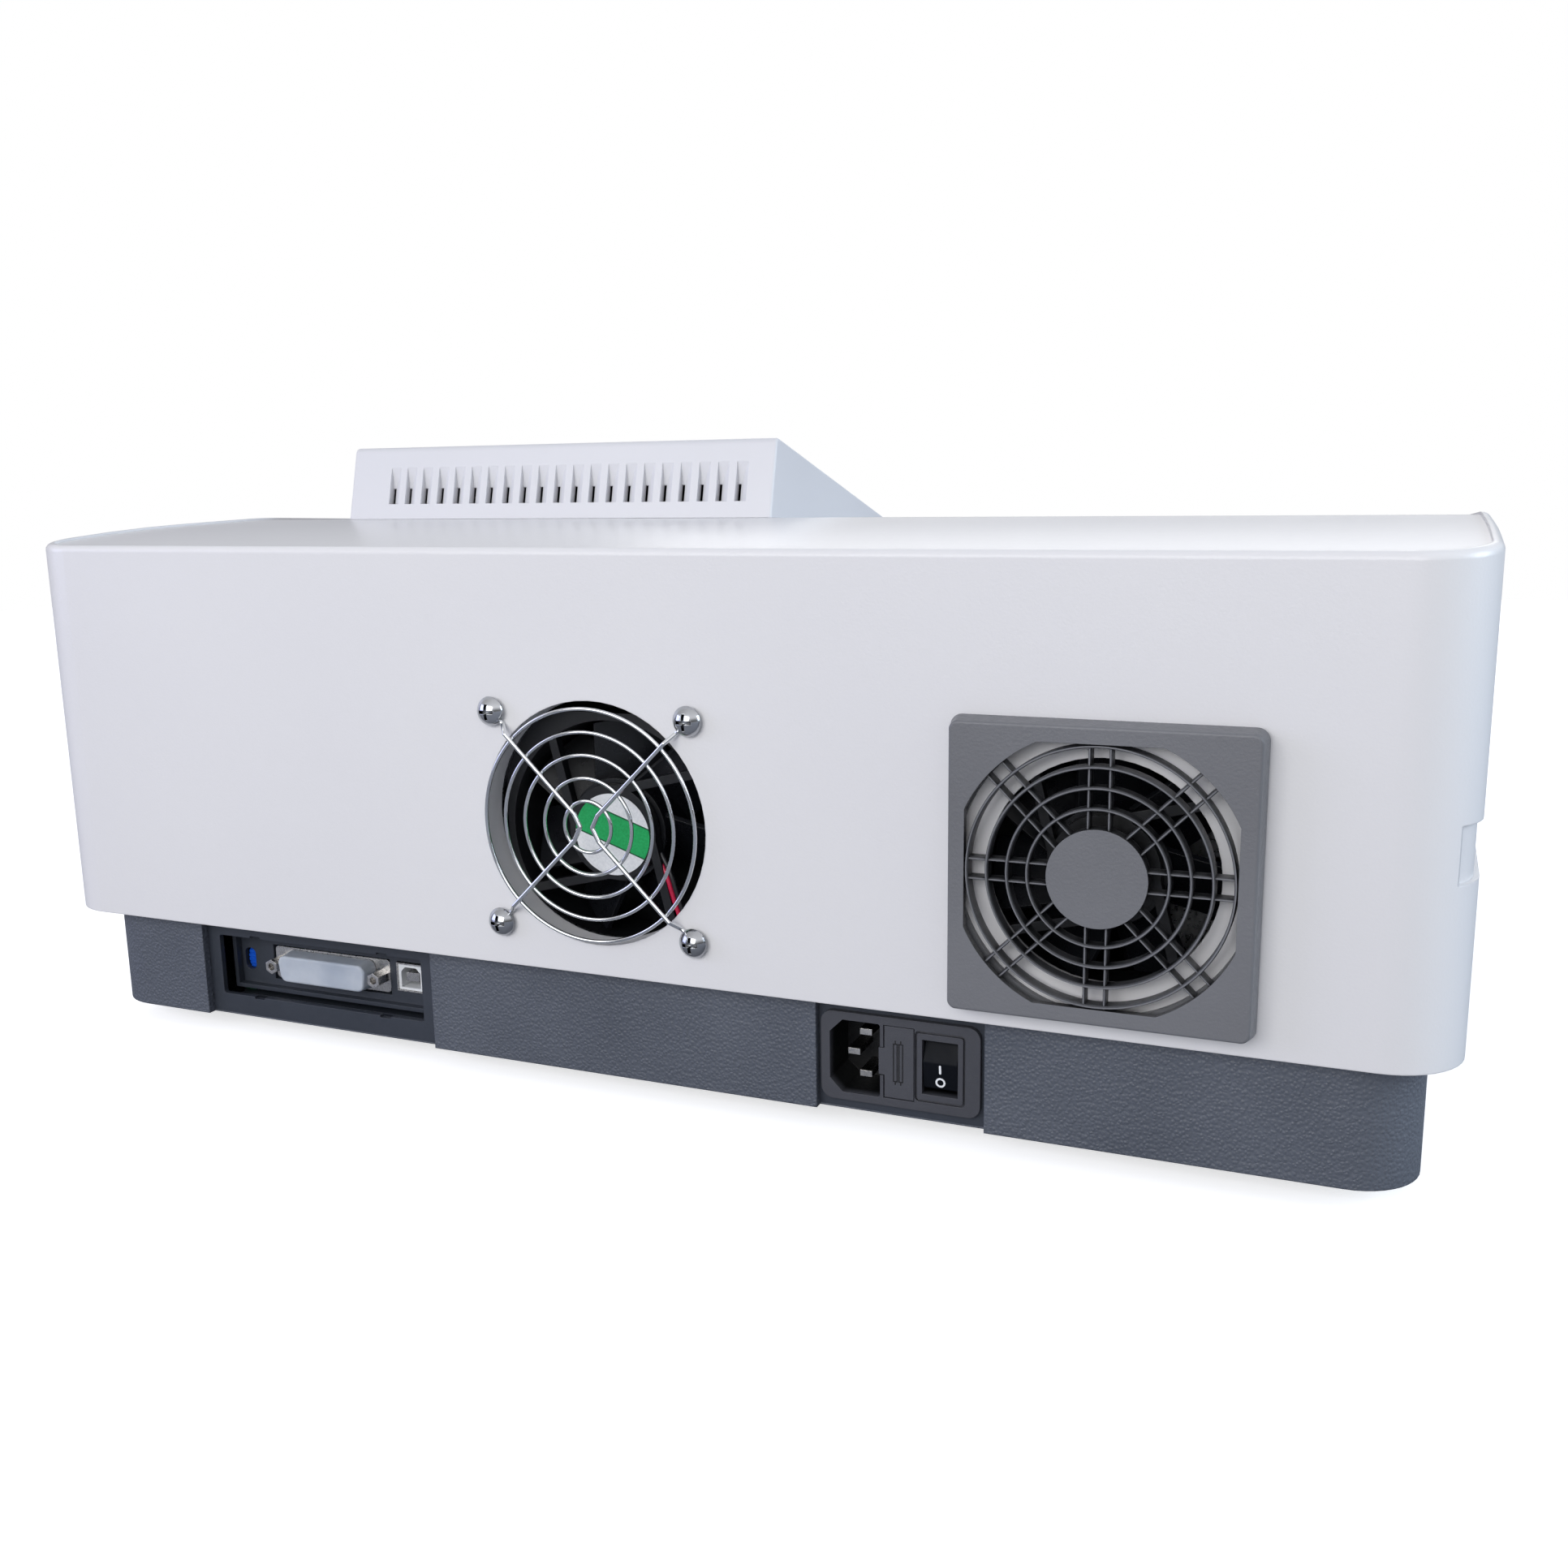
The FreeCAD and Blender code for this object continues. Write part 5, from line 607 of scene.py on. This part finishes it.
def make_socket_liner():
    """Pale plastic face inside the small socket's metal shell, round its dark opening.

    Both upper corners of its rim are given twice, as the opening has two corners for each.
    """
    low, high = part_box("usb_port")
    centre = (low + high) / 2
    origin = Vector((centre.x, high.y, centre.z))
    side = (high.x - low.x) / 2 - SOCKET_SHELL
    top = (high.z - low.z) / 2 - SOCKET_SHELL
    across, tall, cut = SOCKET_OPENING[0] / 2, SOCKET_OPENING[1] / 2, SOCKET_BEVEL
    hole = [
        (-across, -tall), (across, -tall), (across, tall - cut), (across - cut, tall), (cut - across, tall),
        (-across, tall - cut)]
    rim = [(-side, -top), (side, -top), (side, top), (side, top), (-side, top), (-side, top)]
    shape = bmesh.new()
    loops = []
    for points, level in ((rim, SOCKET_FACE), (hole, SOCKET_FACE), (hole, SOCKET_BACK), (rim, SOCKET_BACK)):
        loops.append([shape.verts.new(origin + X_AXIS * u + Z_AXIS * v + Y_AXIS * level) for u, v in points])
    join_loops(shape, loops)
    bmesh.ops.remove_doubles(shape, verts=shape.verts, dist=WELD)
    bmesh.ops.recalc_face_normals(shape, faces=shape.faces)
    pale = plastic("liner_plastic", "E9EBEC", "DDE0E2", rough=0.4, grain=900.0, depth=0.00001, edge=0.0001)
    finish_piece("socket_liner", to_mesh(shape, "socket_liner"), pale, "case")


def make_switch_marks():
    """The bar and the ring printed on the rocker's lower half."""
    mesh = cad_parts["rocker_switch"].data
    lower = [p for p in mesh.polygons if p.normal.y > 0.7 and p.center.z < middle("rocker_switch").z]
    face = max(lower, key=lambda p: p.area)
    out = Vector(face.normal)
    across = X_AXIS
    up = across.cross(out)
    if up.z < 0:
        up = -up
    corners = [mesh.vertices[i].co for p in lower if Vector(p.normal).dot(out) > 0.999 for i in p.vertices]
    heights = [(c - Vector(face.center)).dot(up) for c in corners]
    centre = Vector((middle("rocker_switch").x, face.center.y, face.center.z))
    centre += out * (Vector(face.center) - centre).dot(out)
    centre += up * ((max(heights) + min(heights)) / 2)
    white = plastic("mark_white", "F2F4F6", "E6E9EC", rough=0.4, grain=900.0, depth=0.00001, edge=0.0)
    outline = rectangle(*BAR_SIZE, corner=BAR_CORNER)
    bar = plate_mesh("mark_on", [outline], centre + up * BAR_RISE, across, up, out, -INK, INK)
    finish_piece("mark_on", bar, white, "power_switch")
    ring = ring_mesh(
        "mark_off", centre - up * RING_DROP, across, up, out, RING_INNER, RING_OUTER, -INK, INK)
    finish_piece("mark_off", ring, white, "power_switch")


def make_drawer_marks():
    """The raised fuse symbol on the fuse drawer: two long boxes with short ends."""
    low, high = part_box("fuse_drawer")
    origin = Vector((low.x + DRAWER_MIDDLE, high.y, (low.z + high.z) / 2))
    outlines = []
    for u in (-FUSE_SHIFT, FUSE_SHIFT):
        for side in (-1, 1):
            end = side * FUSE_LENGTH / 2
            outlines.append(rectangle(FUSE_LINE, FUSE_LENGTH, u + side * FUSE_WIDTH / 2))
            outlines.append(rectangle(FUSE_WIDTH + FUSE_LINE, FUSE_LINE, u, end))
            outlines.append(rectangle(FUSE_LINE, FUSE_STUB, u, end + side * FUSE_STUB_SHIFT))
    dark = plastic("drawer_mark", "101013", "0B0B0E", rough=0.5, grain=900.0, depth=0.00001, edge=0.0)
    mesh = plate_mesh("drawer_mark", outlines, origin, X_AXIS, Z_AXIS, Y_AXIS, -INK, INK)
    finish_piece("drawer_mark", mesh, dark, "drawer")


def make_screen():
    """The screen's lit area, paler than the glass round it."""
    centre, across, up, out = top_plane("display_panel")
    glassy = glass("screen_lit", "8FA6A0", rough=0.06, see_through=0.0)
    outline = rectangle(*SCREEN_SIZE, corner=SCREEN_CORNER)
    mesh = plate_mesh("screen_area", [outline], centre, across, up, out, -INK, INK)
    finish_piece("screen_area", mesh, glassy, "case")


def figure_curve(figure):
    """Thin raised figure about its own origin."""
    curve = bpy.data.curves.new("figure_" + figure, "FONT")
    curve.body = figure
    curve.size = FIGURE_SIZE
    curve.align_x = "CENTER"
    curve.align_y = "CENTER"
    curve.extrude = FIGURE_THICKNESS
    return curve


def make_key_marks():
    """Plain figures on the number keys and arrows on four others."""
    centre, across, up, out = top_plane("keypad_sheet")
    ink = plastic("key_ink", "2A2F38", "22262E", rough=0.4, grain=900.0, depth=0.00001, edge=0.0)
    places = islands("keys")
    columns = sorted({round((p - centre).dot(across), 3) for p in places})
    rows = sorted({round((p - centre).dot(up), 3) for p in places}, reverse=True)
    lift = max((Vector(v.co) - centre).dot(out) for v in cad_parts["keys"].data.vertices)
    turn = Matrix((across, up, out)).transposed().to_4x4()
    for row, figures in enumerate(FIGURES):
        for column, figure in enumerate(figures, FIRST_FIGURE_COLUMN):
            where = centre + across * columns[column] + up * rows[row] + out * (lift + FIGURE_LIFT)
            curve = figure_curve(figure)
            matrix = Matrix.Translation(where) @ turn
            finish_piece("figure_" + figure, curve, ink, "case", matrix)
    for index, (column, row, degrees) in enumerate(ARROW_KEYS):
        name = "arrow_%d" % index
        origin = centre + across * columns[column] + up * rows[row] + out * lift
        mesh = plate_mesh(name, [turned(ARROW, degrees)], origin, across, up, out, -INK, INK)
        finish_piece(name, mesh, ink, "case")


# Stage, light and camera

def for_rays(tree, rays, other, seen):
    """Shader that is seen by the named rays, and another that every other ray meets."""
    path = add(tree, "LightPath")
    fac = path.outputs[rays[0]]
    for name in rays[1:]:
        either = add(tree, "Math", operation="MAXIMUM")
        tree.links.new(fac, either.inputs[0])
        tree.links.new(path.outputs[name], either.inputs[1])
        fac = either.outputs["Value"]
    mix = add(tree, "MixShader")
    tree.links.new(fac, mix.inputs["Fac"])
    tree.links.new(other, mix.inputs[1])
    tree.links.new(seen, mix.inputs[2])
    return mix.outputs["Shader"]


def make_world():
    """White to the eye, soft light all round, and a studio with a darker horizon in reflections."""
    world = bpy.data.worlds.new("studio")
    bpy.context.scene.world = world
    world.use_nodes = True
    tree = world.node_tree
    axes = add(tree, "SeparateXYZ")
    tree.links.new(add(tree, "TexCoord").outputs["Generated"], axes.inputs["Vector"])
    sky = tree.nodes["Background"]
    sky.inputs["Color"].default_value = srgb("EEF0F6")
    level = spread(tree, axes.outputs["X"], WORLD_DIM, WORLD_LEVEL, DIM_END, DIM_START)
    tree.links.new(level, sky.inputs["Strength"])
    ramp = add(tree, "ValToRGB")
    stops = ramp.color_ramp.elements
    for _ in range(len(REFLECTED) - len(stops)):
        stops.new(0.5)
    for stop, (height, shade) in zip(stops, REFLECTED):
        stop.position = height / 2 + 0.5
        stop.color = (shade, shade, shade * 1.03, 1.0)
    tree.links.new(spread(tree, axes.outputs["Z"], 0.0, 1.0, -1.0, 1.0), ramp.inputs["Fac"])
    studio = add(tree, "Background")
    tree.links.new(ramp.outputs["Color"], studio.inputs["Color"])
    side = spread(tree, axes.outputs["X"], 1.0, STUDIO_DIM, STUDIO_DIM_START, STUDIO_DIM_END)
    tree.links.new(side, studio.inputs["Strength"])
    white = add(tree, "Background", Color=(1, 1, 1, 1), Strength=1.0)
    lit = for_rays(tree, ["Is Glossy Ray"], sky.outputs["Background"], studio.outputs["Background"])
    shown = for_rays(tree, ["Is Camera Ray", "Is Transmission Ray"], lit, white.outputs["Background"])
    tree.links.new(shown, tree.nodes["World Output"].inputs["Surface"])


def make_floor():
    """Floor that glows white to the camera and is grey to every other ray."""
    shape = bmesh.new()
    bmesh.ops.create_grid(shape, x_segments=1, y_segments=1, size=FLOOR_SIZE / 2)
    mesh = to_mesh(shape, "floor")
    floor = link("floor", mesh)
    mat, tree, shader = start("floor_white", 0.9)
    shader.inputs["Base Color"].default_value = srgb("F4F5F7")
    glow = add(tree, "Emission", Color=(1, 1, 1, 1), Strength=FLOOR_GLOW)
    pale = add(tree, "AddShader")
    tree.links.new(shader.outputs["BSDF"], pale.inputs[0])
    tree.links.new(glow.outputs["Emission"], pale.inputs[1])
    grey = add(tree, "BsdfDiffuse", Color=srgb("9A9CA2"))
    rays = ["Is Camera Ray", "Is Transmission Ray"]
    shown = for_rays(tree, rays, grey.outputs["BSDF"], pale.outputs["Shader"])
    tree.links.new(shown, tree.nodes["Material Output"].inputs["Surface"])
    mesh.materials.append(mat)


def lamp(name, place_at, target, size, power, colour):
    """Soft rectangular lamp of a size in metres and a power in watts that points at a target."""
    light = bpy.data.lights.new(name, "AREA")
    light.shape = "RECTANGLE"
    light.size, light.size_y = size
    light.energy = power
    light.color = srgb(colour)[:3]
    holder = link(name, light)
    holder.location = place_at
    holder.rotation_euler = (Vector(target) - Vector(place_at)).to_track_quat("-Z", "Y").to_euler()


def make_lights():
    """Key lamp behind the rear wall, one lamp at each side and a weak one at the front."""
    lamp("key", (0.3, 2.3, 0.95), (0.0, 0.1, 0.1), (2.4, 1.2), 34.0, "FFFFFF")
    lamp("left", (2.3, 1.2, 0.7), (0.2, 0.1, 0.1), (1.2, 1.2), 13.0, "CDD3FF")
    lamp("right", (-2.1, -0.1, 0.8), (-0.2, 0.0, 0.15), (1.0, 1.0), 27.0, "DCEEFF")
    lamp("front", (0.3, -2.2, 1.3), (0.0, 0.0, 0.1), (2.0, 0.8), 10.0, "FFFFFF")


def make_camera():
    """Camera that stands where the photograph was taken."""
    data = bpy.data.cameras.new("camera")
    data.lens = LENS
    data.sensor_width = SENSOR
    data.sensor_fit = "HORIZONTAL"
    data.clip_start = 0.01
    camera = link("camera", data)
    up = CAMERA_RIGHT.cross(CAMERA_FORWARD)
    turn = Matrix((CAMERA_RIGHT, up, -CAMERA_FORWARD)).transposed().to_4x4()
    camera.matrix_world = Matrix.Translation(CAMERA_PLACE) @ turn
    bpy.context.scene.camera = camera


bpy.context.scene.view_settings.view_transform = "Standard"
make_camera()
make_world()
make_floor()
make_lights()
dress_nodes(make_finishes())
make_fan_label()
make_fan_leads()
make_socket_liner()
make_switch_marks()
make_drawer_marks()
make_screen()
make_key_marks()
